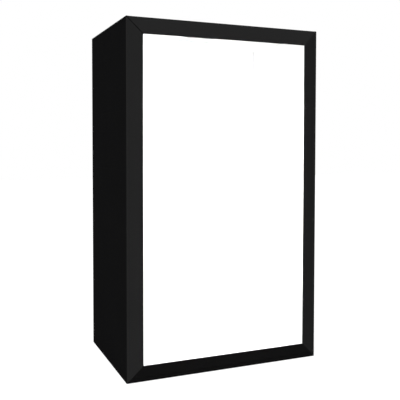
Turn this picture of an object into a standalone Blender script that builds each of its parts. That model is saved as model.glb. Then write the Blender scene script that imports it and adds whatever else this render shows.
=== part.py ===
"""Tall photo light tent: a black fabric cover with a mitred front border, stretched over a
push-fit steel tube frame. Inside are a curved white backdrop, two white side cloths, a top
diffuser and four clip-on light bars. Metres, +Z up, the open front faces -Y, and the origin
is at the middle of the base."""

import math

import bmesh
import bpy
from mathutils import Matrix, Vector

# Cover: the box of black fabric, without the rise of its front border
TENT_WIDTH = 1.200
TENT_HEIGHT = 2.000
BODY_DEPTH = 0.800
COVER_THICKNESS = 0.002

# Clearance between two pieces that touch, and how far a cutter runs past what it cuts
FIT_GAP = 0.0003
CUT_OVERRUN = 0.005

# Front border: four stiffened strips, mitred at the corners, rising towards the opening
BORDER_WIDTH = 0.092
BORDER_RISE = 0.012
BORDER_THICKNESS = 0.003
HEM_WIDTH = 0.018
HEM_THICKNESS = 0.002
HEM_ARC_POINTS = 5

# Steel tubes and the moulded corner connectors that they push onto
TUBE_RADIUS = 0.0095
TUBE_WALL = 0.0012
TUBE_SIDES = 28
CONNECTOR_RADIUS = 0.0125
COLLAR_LENGTH = 0.030
SPIGOT_LENGTH = 0.042
SPIGOT_TIP = 0.004
SPIGOT_TIP_SHARE = 0.80
SPIGOT_RIB = 0.0024
SPIGOT_CORE = 0.0032
GUSSET_THICKNESS = 0.004
GUSSET_SETBACK = 0.002
SWAGE_LENGTH = 0.050
SWAGE_TAPER = 0.004
POST_JOINT_SHARE = 0.5

# Port in the top for a camera, and the flap that covers it
PORT_WIDTH = 0.260
PORT_LENGTH = 0.180
PORT_CORNER = 0.030
FLAP_OVERLAP = 0.022
PULL_WIDTH = 0.040
PULL_LENGTH = 0.022
PULL_CORNER = 0.006
CORNER_STEPS = 6

# Cable grommet in the back
GROMMET_BORE_RADIUS = 0.016
GROMMET_NECK_WALL = 0.003
GROMMET_FLANGE = 0.008
GROMMET_FLANGE_THICKNESS = 0.0018
GROMMET_EDGE = 0.0006
GROMMET_SIDES = 32
GROMMET_FROM_SIDE = 0.180
GROMMET_HEIGHT = 0.220

# White cloths and the backdrop
CLOTH_THICKNESS = 0.0015
STRAP_WIDTH = 0.030
STRAP_SPACING = 0.002
STRAP_OVER = 0.004
CLOTH_CLEARANCE = 0.001
CLOTH_SETBACK = 0.054
BACKDROP_CURVE_RADIUS = 0.300
BACKDROP_WRAP_DEG = 240
BACKDROP_CURVE_STEPS = 14
BACKDROP_WRAP_STEPS = 12

# Light bars: a finned extrusion, the board in it, a snap-in lens and two end caps
BAR_WIDTH = 0.034
BAR_WALL = 0.002
BAR_WEB = 0.002
CHANNEL_DEPTH = 0.009
FIN_HEIGHT = 0.0035
FIN_THICKNESS = 0.0015
FIN_COUNT = 6
BOARD_THICKNESS = 0.0016
BOARD_SIDE_GAP = 0.001
LENS_WALL = 0.0015
LENS_EDGE = 0.001
LENS_CROWN = 0.0012
LENS_LEG = 0.005
LENS_ARC_STEPS = 8
CAP_LENGTH = 0.016
CAP_OVERHANG = 0.0005
CAP_CORNER = 0.003
CAP_CORNER_STEPS = 3
PLUG_LENGTH = 0.008
PLUG_CLEARANCE = 0.0006
CLIP_WALL = 0.0022
CLIP_WIDTH = 0.024
CLIP_OPENING_DEG = 100
CLIP_ARC_STEPS = 18
NECK_LENGTH = 0.004
NECK_HEIGHT = 0.010
NECK_WIDTH = 0.018
BAR_OVER_DIFFUSER = 0.003
INLET_WIDTH = 0.010
INLET_HEIGHT = 0.007
INLET_DEPTH = 0.008
STOP_GAP = 0.002
FRONT_LIGHT_REST_SHARE = 0.10
REAR_LIGHT_REST_SHARE = 0.50
SIDE_LIGHT_HEIGHT_SHARE = 0.50
SIDE_LIGHT_FACING_DEG = 45

# Places that follow from the sizes above
HALF_WIDTH = TENT_WIDTH / 2
GROMMET_STAND_OUT = FIT_GAP + GROMMET_FLANGE_THICKNESS
BACK_Y = (BODY_DEPTH + BORDER_RISE - GROMMET_STAND_OUT) / 2
FRONT_Y = BACK_Y - BODY_DEPTH
PANEL_FRONT_Y = FRONT_Y + BORDER_THICKNESS + FIT_GAP
PANEL_LOW_Z = COVER_THICKNESS + FIT_GAP
PANEL_HIGH_Z = TENT_HEIGHT - COVER_THICKNESS - FIT_GAP
TUBE_INSET = COVER_THICKNESS + FIT_GAP + CONNECTOR_RADIUS
POST_X = HALF_WIDTH - TUBE_INSET
BACK_POST_Y = BACK_Y - TUBE_INSET
FRONT_POST_Y = PANEL_FRONT_Y + CONNECTOR_RADIUS
RAIL_HIGH_Z = TENT_HEIGHT - TUBE_INSET
RAIL_LOW_Z = TUBE_INSET
TUBE_BORE = TUBE_RADIUS - TUBE_WALL
TUBE_START = COLLAR_LENGTH + FIT_GAP
TUBE_REACH = TUBE_RADIUS + FIT_GAP
POST_JOINT_Z = TENT_HEIGHT * POST_JOINT_SHARE
PORT_FRONT_Y = (FRONT_POST_Y + BACK_POST_Y - PORT_LENGTH) / 2
PORT_REAR_Y = PORT_FRONT_Y + PORT_LENGTH
CLOTH_FACE_X = POST_X - TUBE_REACH - CLOTH_THICKNESS
CLIP_RADIUS = TUBE_REACH + CLIP_WALL
CAP_FACE_X = POST_X - CLIP_RADIUS - NECK_LENGTH
BAR_HALF_LENGTH = CAP_FACE_X - CAP_LENGTH - FIT_GAP
BAR_BACK = BAR_WEB + FIN_HEIGHT
LENS_SEAT = CHANNEL_DEPTH + FIT_GAP
BAR_FRONT = LENS_SEAT + LENS_EDGE + LENS_CROWN
STRAP_SIDE = STRAP_SPACING / 2
STRAP_REACH = STRAP_SIDE + STRAP_WIDTH
STRAP_MARGIN = STRAP_REACH + CLIP_WIDTH / 2 + STOP_GAP
PORT_MARGIN = BAR_WIDTH / 2 + CAP_OVERHANG + STOP_GAP
STRAP_STATIONS = (
    FRONT_POST_Y + COLLAR_LENGTH + STRAP_REACH + CLOTH_CLEARANCE,
    PORT_FRONT_Y - PORT_MARGIN + STRAP_MARGIN,
    PORT_REAR_Y + PORT_MARGIN - STRAP_MARGIN,
    BACK_POST_Y - COLLAR_LENGTH - STRAP_REACH - CLOTH_CLEARANCE,
)

FRONT, REAR = -1, 1
LEFT, RIGHT = -1, 1
LOW, HIGH = -1, 1
SIDE_NAMES = {LEFT: "left", RIGHT: "right"}
DEPTH_NAMES = {FRONT: "front", REAR: "back"}
LEVEL_NAMES = {LOW: "bottom", HIGH: "top"}


def clear_scene():
    for old in list(bpy.data.objects):
        bpy.data.objects.remove(old, do_unlink=True)


def material(name, colour, roughness, metallic=0.0):
    made = bpy.data.materials.new(name)
    made.use_nodes = True
    shader = made.node_tree.nodes["Principled BSDF"]
    shader.inputs["Base Color"].default_value = (*colour, 1.0)
    shader.inputs["Roughness"].default_value = roughness
    shader.inputs["Metallic"].default_value = metallic
    return made


def make_materials():
    return {
        "oxford": material("black_oxford_fabric", (0.014, 0.014, 0.014), 0.85),
        "border": material("black_border_fabric", (0.018, 0.018, 0.018), 0.80),
        "tube": material("zinc_plated_steel", (0.62, 0.63, 0.65), 0.35, 1.0),
        "moulding": material("black_moulded_plastic", (0.020, 0.020, 0.021), 0.50),
        "cloth": material("white_cloth", (0.90, 0.90, 0.90), 0.90),
        "vinyl": material("white_vinyl", (0.92, 0.92, 0.92), 0.55),
        "aluminium": material("anodised_aluminium", (0.72, 0.73, 0.74), 0.38, 1.0),
        "board": material("white_circuit_board", (0.85, 0.86, 0.84), 0.45),
        "lens": material("frosted_lens", (0.95, 0.95, 0.94), 0.40),
    }


def place(mesh, name, finish, parent=None, matrix=None):
    """Links a mesh as a named object, standing in its parent's frame."""
    made = bpy.data.objects.new(name, mesh)
    made.data.materials.append(finish)
    bpy.context.scene.collection.objects.link(made)
    made.parent = parent
    if matrix is not None:
        made.matrix_local = matrix
    return made


def empty(name, matrix):
    made = bpy.data.objects.new(name, None)
    bpy.context.scene.collection.objects.link(made)
    made.matrix_world = matrix
    return made


def mesh_of(bm, name, smooth=False):
    bmesh.ops.recalc_face_normals(bm, faces=bm.faces)
    mesh = bpy.data.meshes.new(name)
    bm.to_mesh(mesh)
    bm.free()
    if smooth:
        mesh.shade_smooth()
        mesh.set_sharp_from_angle(angle=math.radians(35))
    return mesh


def prism(name, outline, thickness, smooth=False):
    """An outline in the XY plane, extruded up by its thickness."""
    bm = bmesh.new()
    face = bm.faces.new([bm.verts.new((x, y, 0)) for x, y in outline])
    raised = bmesh.ops.extrude_face_region(bm, geom=[face])["geom"]
    moved = [item for item in raised if isinstance(item, bmesh.types.BMVert)]
    bmesh.ops.translate(bm, verts=moved, vec=(0, 0, thickness))
    return mesh_of(bm, name, smooth)


def box_between(name, low, high):
    outline = [(low[0], low[1]), (high[0], low[1]), (high[0], high[1]), (low[0], high[1])]
    mesh = prism(name, outline, high[2] - low[2])
    mesh.transform(Matrix.Translation((0, 0, low[2])))
    return mesh


def turned(name, profile, sides):
    """A closed profile of (radius, height) points, spun round Z."""
    bm = bmesh.new()
    ring = [bm.verts.new((radius, 0, height)) for radius, height in profile]
    edges = [bm.edges.new((ring[i - 1], ring[i])) for i in range(len(ring))]
    bmesh.ops.spin(
        bm, geom=ring + edges, axis=(0, 0, 1), cent=(0, 0, 0),
        angle=math.tau, steps=sides, use_merge=True,
    )
    return mesh_of(bm, name, smooth=True)


def arc(centre, radius, start_deg, end_deg, steps):
    """Points along an arc, both ends included."""
    points = []
    for i in range(steps + 1):
        angle = math.radians(start_deg + (end_deg - start_deg) * i / steps)
        points.append((centre[0] + radius * math.cos(angle), centre[1] + radius * math.sin(angle)))
    return points


def rounded_rectangle(low, high, radius, steps):
    corners = [
        ((high[0] - radius, low[1] + radius), -90),
        ((high[0] - radius, high[1] - radius), 0),
        ((low[0] + radius, high[1] - radius), 90),
        ((low[0] + radius, low[1] + radius), 180),
    ]
    return [point for centre, start in corners
            for point in arc(centre, radius, start, start + 90, steps)]


def helper(mesh, name, matrix):
    """A shape that only cuts or joins: it isn't a piece of the tent."""
    made = bpy.data.objects.new(name, mesh)
    bpy.context.scene.collection.objects.link(made)
    made.matrix_world = matrix
    made.hide_render = True
    made.display_type = "WIRE"
    return made


def boolean(target, other, operation):
    step = target.modifiers.new(other.name, "BOOLEAN")
    step.operation = operation
    step.object = other
    step.solver = "EXACT"


def frame_matrix(origin, x_axis, y_axis):
    """A frame with these X and Y directions, and Z square to both."""
    x_axis, y_axis = Vector(x_axis), Vector(y_axis)
    turn = Matrix((x_axis, y_axis, x_axis.cross(y_axis))).transposed().to_4x4()
    return Matrix.Translation(origin) @ turn


def along(start, direction):
    """A frame at start whose Z runs along direction."""
    turn = Vector(direction).to_track_quat("Z", "Y").to_matrix().to_4x4()
    return Matrix.Translation(start) @ turn


def make_cover(finish):
    """Five sewn panels: floor, top with its port, two sides, and back with its cable hole."""
    low, high = (-HALF_WIDTH, PANEL_FRONT_Y, 0), (HALF_WIDTH, BACK_Y, COVER_THICKNESS)
    floor = box_between("cover_floor", low, high)
    place(floor, "cover_floor", finish)
    lift = Matrix.Translation((0, 0, TENT_HEIGHT - COVER_THICKNESS))
    top = place(floor.copy(), "cover_top", finish, matrix=lift)
    cut_port(top, TENT_HEIGHT - COVER_THICKNESS, COVER_THICKNESS)
    for side in (LEFT, RIGHT):
        outer, inner = side * HALF_WIDTH, side * (HALF_WIDTH - COVER_THICKNESS)
        mesh = box_between(
            "cover_side",
            (min(outer, inner), PANEL_FRONT_Y, PANEL_LOW_Z), (max(outer, inner), BACK_Y, PANEL_HIGH_Z),
        )
        place(mesh, f"cover_{SIDE_NAMES[side]}", finish)
    reach = HALF_WIDTH - COVER_THICKNESS - FIT_GAP
    mesh = box_between(
        "cover_back", (-reach, BACK_Y - COVER_THICKNESS, PANEL_LOW_Z), (reach, BACK_Y, PANEL_HIGH_Z),
    )
    back = place(mesh, "cover_back", finish)
    hole_radius = GROMMET_BORE_RADIUS + GROMMET_NECK_WALL + FIT_GAP
    circle = arc((0, 0), hole_radius, 0, 360, GROMMET_SIDES)[:-1]
    cutter = prism("cable_hole_cutter", circle, COVER_THICKNESS + 2 * CUT_OVERRUN)
    start = grommet_centre() - Vector((0, COVER_THICKNESS / 2 + CUT_OVERRUN, 0))
    boolean(back, helper(cutter, "cable_hole_cutter", along(start, (0, 1, 0))), "DIFFERENCE")


def cut_port(sheet, under_z, thickness):
    """The round-cornered port through a sheet whose underside is at under_z."""
    outline = rounded_rectangle(
        (-PORT_WIDTH / 2, PORT_FRONT_Y), (PORT_WIDTH / 2, PORT_REAR_Y), PORT_CORNER, CORNER_STEPS,
    )
    name = f"{sheet.name}_port_cutter"
    sink = Matrix.Translation((0, 0, under_z - CUT_OVERRUN))
    cutter = helper(prism(name, outline, thickness + 2 * CUT_OVERRUN), name, sink)
    boolean(sheet, cutter, "DIFFERENCE")


def grommet_centre():
    return Vector((-HALF_WIDTH + GROMMET_FROM_SIDE, BACK_Y - COVER_THICKNESS / 2, GROMMET_HEIGHT))


def make_grommet(finish):
    """A snap-in ring: a neck through the cable hole, with a rounded flange on each face."""
    neck = GROMMET_BORE_RADIUS + GROMMET_NECK_WALL
    rim = neck + GROMMET_FLANGE
    inner_face = COVER_THICKNESS / 2 + FIT_GAP
    outer_face = inner_face + GROMMET_FLANGE_THICKNESS
    upper = [
        (neck, inner_face), (rim, inner_face), (rim, outer_face - GROMMET_EDGE),
        (rim - GROMMET_EDGE, outer_face), (GROMMET_BORE_RADIUS + GROMMET_EDGE, outer_face),
        (GROMMET_BORE_RADIUS, outer_face - GROMMET_EDGE),
    ]
    lower = [(radius, -height) for radius, height in reversed(upper)]
    mesh = turned("cable_grommet", upper + lower, GROMMET_SIDES)
    place(mesh, "cable_grommet", finish, matrix=along(grommet_centre(), (0, 1, 0)))


def make_flap(finish):
    """The port's flap, sewn along its rear edge, where its origin lies, with a pull tab in front."""
    half = PORT_WIDTH / 2 + FLAP_OVERLAP
    length = PORT_LENGTH + 2 * FLAP_OVERLAP
    corner = PORT_CORNER + FLAP_OVERLAP
    pull = [(-PULL_WIDTH / 2, -length)]
    pull += arc((-PULL_WIDTH / 2 + PULL_CORNER, -length - PULL_LENGTH + PULL_CORNER),
                PULL_CORNER, 180, 270, CORNER_STEPS)
    pull += arc((PULL_WIDTH / 2 - PULL_CORNER, -length - PULL_LENGTH + PULL_CORNER),
                PULL_CORNER, 270, 360, CORNER_STEPS)
    pull += [(PULL_WIDTH / 2, -length)]
    outline = [(half, 0), (-half, 0)]
    outline += arc((-half + corner, -length + corner), corner, 180, 270, CORNER_STEPS)
    outline += pull
    outline += arc((half - corner, -length + corner), corner, 270, 360, CORNER_STEPS)
    mesh = prism("top_flap", outline, COVER_THICKNESS)
    mesh.transform(Matrix.Translation((0, 0, -COVER_THICKNESS / 2)))
    hinge = (0, PORT_REAR_Y + FLAP_OVERLAP, TENT_HEIGHT + FIT_GAP + COVER_THICKNESS / 2)
    place(mesh, "top_flap", finish, matrix=Matrix.Translation(hinge))


def border_profile():
    """(distance in from the outer edge, how far forward) round a strip, hem and all."""
    def forward(inwards):
        return BORDER_RISE * inwards / BORDER_WIDTH

    depth = BORDER_THICKNESS + HEM_THICKNESS
    nose = arc((BORDER_WIDTH - depth / 2, forward(BORDER_WIDTH) - depth / 2),
               depth / 2, 90, -90, HEM_ARC_POINTS)
    hem_start = BORDER_WIDTH - HEM_WIDTH
    return [(0, 0)] + nose + [
        (hem_start, forward(hem_start) - depth),
        (hem_start, forward(hem_start) - BORDER_THICKNESS),
        (0, -BORDER_THICKNESS),
    ]


def border_strip(name, length):
    """A strip along X, lying in the XZ plane with its outer edge at Z 0, its ends mitred."""
    bm = bmesh.new()
    ends = []
    for end in (LEFT, RIGHT):
        ends.append([
            bm.verts.new((end * (length / 2 - inwards - FIT_GAP), -forward, -inwards))
            for inwards, forward in border_profile()
        ])
    caps = [bm.edges.new((ring[i - 1], ring[i])) for ring in ends for i in range(len(ring))]
    bmesh.ops.bridge_loops(bm, edges=caps)
    for ring in ends:
        bm.faces.new(ring)
    return mesh_of(bm, name, smooth=True)


def make_border(finish):
    middle = TENT_HEIGHT / 2
    strips = [
        ("front_border_top", TENT_WIDTH, 0, (0, FRONT_Y, TENT_HEIGHT)),
        ("front_border_right", TENT_HEIGHT, 90, (HALF_WIDTH, FRONT_Y, middle)),
        ("front_border_bottom", TENT_WIDTH, 180, (0, FRONT_Y, 0)),
        ("front_border_left", TENT_HEIGHT, 270, (-HALF_WIDTH, FRONT_Y, middle)),
    ]
    for name, length, turn, corner in strips:
        matrix = Matrix.Translation(corner) @ Matrix.Rotation(math.radians(turn), 4, "Y")
        place(border_strip(name, length), name, finish, matrix=matrix)


def tube(name, start, end, finish):
    """A plain tube between two points."""
    start, end = Vector(start), Vector(end)
    length = (end - start).length
    profile = [(TUBE_BORE, 0), (TUBE_RADIUS, 0), (TUBE_RADIUS, length), (TUBE_BORE, length)]
    place(turned(name, profile, TUBE_SIDES), name, finish, matrix=along(start, end - start))


def swaged_tube(name, start, length, finish):
    """A lower post: its top end is necked down to enter the upper post."""
    neck = TUBE_BORE - FIT_GAP
    shoulder = length + SWAGE_TAPER
    top = length + SWAGE_LENGTH
    profile = [
        (TUBE_BORE, 0), (TUBE_RADIUS, 0), (TUBE_RADIUS, length), (neck, shoulder), (neck, top),
        (neck - TUBE_WALL, top), (neck - TUBE_WALL, shoulder), (TUBE_BORE, length),
    ]
    place(turned(name, profile, TUBE_SIDES), name, finish, matrix=Matrix.Translation(start))


def make_tubes(finish):
    """Four posts in two sections each, four rails across and four from front to back."""
    posts = {FRONT: FRONT_POST_Y, REAR: BACK_POST_Y}
    levels = {LOW: RAIL_LOW_Z, HIGH: RAIL_HIGH_Z}
    upper_start = POST_JOINT_Z + SWAGE_TAPER + FIT_GAP
    for side in (LEFT, RIGHT):
        x = side * POST_X
        for depth, y in posts.items():
            corner = f"{DEPTH_NAMES[depth]}_{SIDE_NAMES[side]}"
            low_end = RAIL_LOW_Z + TUBE_START
            swaged_tube(f"post_lower_{corner}", (x, y, low_end), POST_JOINT_Z - low_end, finish)
            tube(f"post_upper_{corner}", (x, y, upper_start), (x, y, RAIL_HIGH_Z - TUBE_START), finish)
        for level, z in levels.items():
            tube(f"rail_{LEVEL_NAMES[level]}_{SIDE_NAMES[side]}",
                 (x, FRONT_POST_Y + TUBE_START, z), (x, BACK_POST_Y - TUBE_START, z), finish)
    for depth, y in posts.items():
        for level, z in levels.items():
            tube(f"rail_{LEVEL_NAMES[level]}_{DEPTH_NAMES[depth]}",
                 (-POST_X + TUBE_START, y, z), (POST_X - TUBE_START, y, z), finish)


def spigot_outline(scale):
    """A four-ribbed cross-section that slides into a tube's bore."""
    reach = (TUBE_BORE - FIT_GAP) * scale
    half_rib = SPIGOT_RIB / 2 * scale
    tip = math.sqrt(reach ** 2 - half_rib ** 2)
    points = []
    for quarter in range(4):
        turn = Matrix.Rotation(quarter * math.tau / 4, 2)
        for corner in ((tip, -half_rib), (tip, half_rib), (SPIGOT_CORE * scale, SPIGOT_CORE * scale)):
            points.append(turn @ Vector(corner))
    return points


def add_spigot(bm, turn):
    """A ribbed spigot with a tapered tip, along the turned Z."""
    base = COLLAR_LENGTH - CUT_OVERRUN
    end = COLLAR_LENGTH + SPIGOT_LENGTH
    heights = [(base, 1.0), (end - SPIGOT_TIP, 1.0), (end, SPIGOT_TIP_SHARE)]
    rings = []
    for height, scale in heights:
        rings.append([bm.verts.new(turn @ Vector((*point, height))) for point in spigot_outline(scale)])
    for lower, upper in zip(rings, rings[1:]):
        for i in range(len(lower)):
            bm.faces.new((lower[i - 1], lower[i], upper[i], upper[i - 1]))
    bm.faces.new(list(reversed(rings[0])))
    bm.faces.new(rings[-1])


def connector_parts():
    """The meshes of a three-way corner whose legs run along +X, +Y and +Z."""
    legs = {"x": (1, 0, 0), "y": (0, 1, 0), "z": (0, 0, 1)}
    parts = []
    for name, direction in legs.items():
        turn = along((0, 0, 0), direction)
        bm = bmesh.new()
        bmesh.ops.create_cone(
            bm, cap_ends=True, segments=TUBE_SIDES, radius1=CONNECTOR_RADIUS, radius2=CONNECTOR_RADIUS,
            depth=COLLAR_LENGTH, matrix=turn @ Matrix.Translation((0, 0, COLLAR_LENGTH / 2)),
        )
        parts.append(mesh_of(bm, f"collar_{name}"))
        bm = bmesh.new()
        add_spigot(bm, turn)
        parts.append(mesh_of(bm, f"spigot_{name}"))
    bm = bmesh.new()
    bmesh.ops.create_uvsphere(
        bm, u_segments=TUBE_SIDES, v_segments=TUBE_SIDES // 2, radius=CONNECTOR_RADIUS,
    )
    parts.append(mesh_of(bm, "ball"))
    reach = COLLAR_LENGTH - GUSSET_SETBACK
    root = CONNECTOR_RADIUS / 2
    planes = [frame_matrix((0, 0, 0), a, b) for a, b in (
        ((1, 0, 0), (0, 1, 0)), ((0, 1, 0), (0, 0, 1)), ((0, 0, 1), (1, 0, 0)))]
    for plane in planes:
        web = prism("gusset", [(root, root), (reach, root), (root, reach)], GUSSET_THICKNESS)
        web.transform(plane @ Matrix.Translation((0, 0, -GUSSET_THICKNESS / 2)))
        parts.append(web)
    return parts


def joined_mesh(parts, name):
    """One mesh from overlapping shapes, by Boolean unions that are then applied."""
    base = helper(parts[0], f"{name}_base", Matrix.Identity(4))
    others = [helper(part, f"{name}_{i}", Matrix.Identity(4)) for i, part in enumerate(parts[1:])]
    for other in others:
        boolean(base, other, "UNION")
    bpy.context.view_layer.update()
    graph = bpy.context.evaluated_depsgraph_get()
    mesh = bpy.data.meshes.new_from_object(base.evaluated_get(graph))
    for old in [base] + others:
        bpy.data.objects.remove(old, do_unlink=True)
    mesh.name = name
    mesh.shade_smooth()
    mesh.set_sharp_from_angle(angle=math.radians(35))
    return mesh


def make_connectors(finish):
    """Eight corners from one moulding: four one way round, and four that are its mirror image."""
    mesh = joined_mesh(connector_parts(), "corner_connector")
    mirrored = mesh.copy()
    mirrored.transform(Matrix.Scale(-1, 4, (1, 0, 0)))
    mirrored.flip_normals()
    for side in (LEFT, RIGHT):
        for depth in (FRONT, REAR):
            for level in (LOW, HIGH):
                name = f"corner_{LEVEL_NAMES[level]}_{DEPTH_NAMES[depth]}_{SIDE_NAMES[side]}"
                place_corner(name, (side, depth, level), mesh, mirrored, finish)


def place_corner(name, signs, mesh, mirrored, finish):
    """Turns the moulding so that its legs run inwards from this corner of the tent."""
    side, depth, level = signs
    y = FRONT_POST_Y if depth == FRONT else BACK_POST_Y
    z = RAIL_LOW_Z if level == LOW else RAIL_HIGH_Z
    inwards = [(-side, 0, 0), (0, -depth, 0), (0, 0, -level)]
    right_handed = side * depth * level < 0
    if not right_handed:
        inwards[0] = (side, 0, 0)
    turn = Matrix([Vector(axis) for axis in inwards]).transposed().to_4x4()
    matrix = Matrix.Translation((side * POST_X, y, z)) @ turn
    place(mesh if right_handed else mirrored, name, finish, matrix=matrix)


def make_backdrop(finish):
    """A vinyl sweep: hooked over the top rear rail, down, round a large curve and out over the floor."""
    half = CLOTH_THICKNESS / 2
    hook_radius = TUBE_REACH + half
    sheet_y = BACK_POST_Y - hook_radius
    floor_z = PANEL_LOW_Z + half
    curve_centre = (sheet_y - BACKDROP_CURVE_RADIUS, floor_z + BACKDROP_CURVE_RADIUS)
    front_edge = FRONT_POST_Y + CONNECTOR_RADIUS + CLOTH_CLEARANCE

    def side_line(offset):
        hook = arc((BACK_POST_Y, RAIL_HIGH_Z), hook_radius - offset,
                   180 - BACKDROP_WRAP_DEG, 180, BACKDROP_WRAP_STEPS)
        curve = arc(curve_centre, BACKDROP_CURVE_RADIUS + offset, 0, -90, BACKDROP_CURVE_STEPS)
        return hook + curve + [(front_edge, floor_z - offset)]

    outline = side_line(half) + list(reversed(side_line(-half)))
    half_width = POST_X - CONNECTOR_RADIUS - CLOTH_CLEARANCE
    mesh = prism("backdrop", outline, 2 * half_width, smooth=True)
    matrix = frame_matrix((-half_width, 0, 0), (0, 1, 0), (0, 0, 1))
    sheet = place(mesh, "backdrop", finish, matrix=matrix)
    hook_half_width = POST_X - COLLAR_LENGTH - CLOTH_CLEARANCE
    low = RAIL_HIGH_Z - CONNECTOR_RADIUS - CLOTH_CLEARANCE
    for side in (LEFT, RIGHT):
        near, far = side * hook_half_width, side * (half_width + CUT_OVERRUN)
        notch = box_between(
            "backdrop_notch", (min(near, far), sheet_y - CONNECTOR_RADIUS, low),
            (max(near, far), BACK_Y, TENT_HEIGHT),
        )
        cutter = helper(notch, f"backdrop_notch_{SIDE_NAMES[side]}", Matrix.Identity(4))
        boolean(sheet, cutter, "DIFFERENCE")


def rear_cloth_edge():
    """Just ahead of the backdrop, which hangs in front of the rear rail."""
    return BACK_POST_Y - CONNECTOR_RADIUS - CLOTH_CLEARANCE


def make_side_cloths(finish):
    """Flat white cloths against the side rails, with straps up to the top rails."""
    top = RAIL_HIGH_Z - CONNECTOR_RADIUS - CLOTH_CLEARANCE
    strap_top = RAIL_HIGH_Z + STRAP_OVER
    bottom = RAIL_LOW_Z - STRAP_OVER
    front, rear = FRONT_POST_Y + CLOTH_SETBACK, rear_cloth_edge()
    notch_front = BACK_POST_Y - COLLAR_LENGTH - CLOTH_CLEARANCE
    notch_top = RAIL_LOW_Z + CONNECTOR_RADIUS + CLOTH_CLEARANCE
    outline = [(front, bottom), (notch_front, bottom), (notch_front, notch_top)]
    outline += [(rear, notch_top), (rear, top)]
    for station in reversed(STRAP_STATIONS):
        near, far = station + STRAP_SIDE, station + STRAP_REACH
        outline += [(far, top), (far, strap_top), (near, strap_top), (near, top)]
    outline.append((front, top))
    for side in (LEFT, RIGHT):
        mesh = prism("side_cloth", outline, CLOTH_THICKNESS)
        x = CLOTH_FACE_X if side == RIGHT else -CLOTH_FACE_X - CLOTH_THICKNESS
        matrix = frame_matrix((x, 0, 0), (0, 1, 0), (0, 0, 1))
        place(mesh, f"side_cloth_{SIDE_NAMES[side]}", finish, matrix=matrix)


def make_top_diffuser(finish):
    """A flat diffusion cloth under the top lights, with the port through it and straps out
    under the side rails."""
    half = CLOTH_FACE_X - CLOTH_CLEARANCE
    strap_end = POST_X + STRAP_OVER
    front, rear = FRONT_POST_Y + CONNECTOR_RADIUS + CLOTH_CLEARANCE, rear_cloth_edge()
    right_edge = [(half, front)]
    for station in STRAP_STATIONS:
        near, far = station - STRAP_REACH, station - STRAP_SIDE
        right_edge += [(half, near), (strap_end, near), (strap_end, far), (half, far)]
    right_edge.append((half, rear))
    left_edge = [(-x, y) for x, y in reversed(right_edge)]
    mesh = prism("top_diffuser", right_edge + left_edge, CLOTH_THICKNESS)
    z = RAIL_HIGH_Z - TUBE_REACH - CLOTH_THICKNESS
    cloth = place(mesh, "top_diffuser", finish, matrix=Matrix.Translation((0, 0, z)))
    cut_port(cloth, z, CLOTH_THICKNESS)


def housing_outline():
    """The finned channel's cross-section: the web's inner face is at 0 and the lens side is negative."""
    half, inner = BAR_WIDTH / 2, BAR_WIDTH / 2 - BAR_WALL
    outline = [(half, -CHANNEL_DEPTH), (half, BAR_BACK), (inner, BAR_BACK), (inner, BAR_WEB)]
    pitch = 2 * inner / (FIN_COUNT + 1)
    for i in range(FIN_COUNT):
        right = inner - pitch * (i + 1) + FIN_THICKNESS / 2
        left = right - FIN_THICKNESS
        outline += [(right, BAR_WEB), (right, BAR_BACK), (left, BAR_BACK), (left, BAR_WEB)]
    outline += [(-inner, BAR_WEB), (-inner, BAR_BACK), (-half, BAR_BACK), (-half, -CHANNEL_DEPTH)]
    outline += [(-inner, -CHANNEL_DEPTH), (-inner, 0), (inner, 0), (inner, -CHANNEL_DEPTH)]
    return outline


def lens_outline():
    """A crowned face that laps the channel's walls, with a leg inside each."""
    half = BAR_WIDTH / 2
    leg_out = half - BAR_WALL - FIT_GAP
    leg_in = leg_out - LENS_WALL
    leg_end = -LENS_SEAT + LENS_LEG
    crown = []
    for i in range(LENS_ARC_STEPS + 1):
        across = half - BAR_WIDTH * i / LENS_ARC_STEPS
        rise = LENS_CROWN * (1 - (across / half) ** 2)
        crown.append((across, -LENS_SEAT - LENS_EDGE - rise))
    return [(half, -LENS_SEAT)] + crown + [
        (-half, -LENS_SEAT), (-leg_out, -LENS_SEAT), (-leg_out, leg_end), (-leg_in, leg_end),
        (-leg_in, -LENS_SEAT), (leg_in, -LENS_SEAT), (leg_in, leg_end), (leg_out, leg_end),
        (leg_out, -LENS_SEAT),
    ]


def clip_outline(opening_deg):
    """A C that snaps round a tube, open towards opening_deg."""
    start = opening_deg + CLIP_OPENING_DEG / 2
    end = opening_deg + 360 - CLIP_OPENING_DEG / 2
    outer = arc((0, 0), CLIP_RADIUS, start, end, CLIP_ARC_STEPS)
    inner = arc((0, 0), TUBE_REACH, end, start, CLIP_ARC_STEPS)
    return outer + inner


def bar_length_frame(start):
    """From outlines of (across, thickness) to the bar's frame, whose X runs along the bar."""
    return frame_matrix((start, 0, 0), (0, 1, 0), (0, 0, 1))


def cap_body():
    """An end cap at the +X end of a bar, with the plug that enters the channel."""
    half = BAR_WIDTH / 2 + CAP_OVERHANG
    outline = rounded_rectangle(
        (-half, -BAR_FRONT - CAP_OVERHANG), (half, BAR_BACK + CAP_OVERHANG), CAP_CORNER, CAP_CORNER_STEPS,
    )
    shell = prism("cap_shell", outline, CAP_LENGTH)
    shell.transform(bar_length_frame(BAR_HALF_LENGTH + FIT_GAP))
    plug_half = BAR_WIDTH / 2 - BAR_WALL - FIT_GAP - LENS_WALL - PLUG_CLEARANCE
    plug = box_between(
        "cap_plug",
        (BAR_HALF_LENGTH - PLUG_LENGTH, -plug_half, -LENS_SEAT + PLUG_CLEARANCE),
        (BAR_HALF_LENGTH + CAP_LENGTH / 2, plug_half, -FIT_GAP - BOARD_THICKNESS - PLUG_CLEARANCE),
    )
    return [shell, plug]


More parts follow.
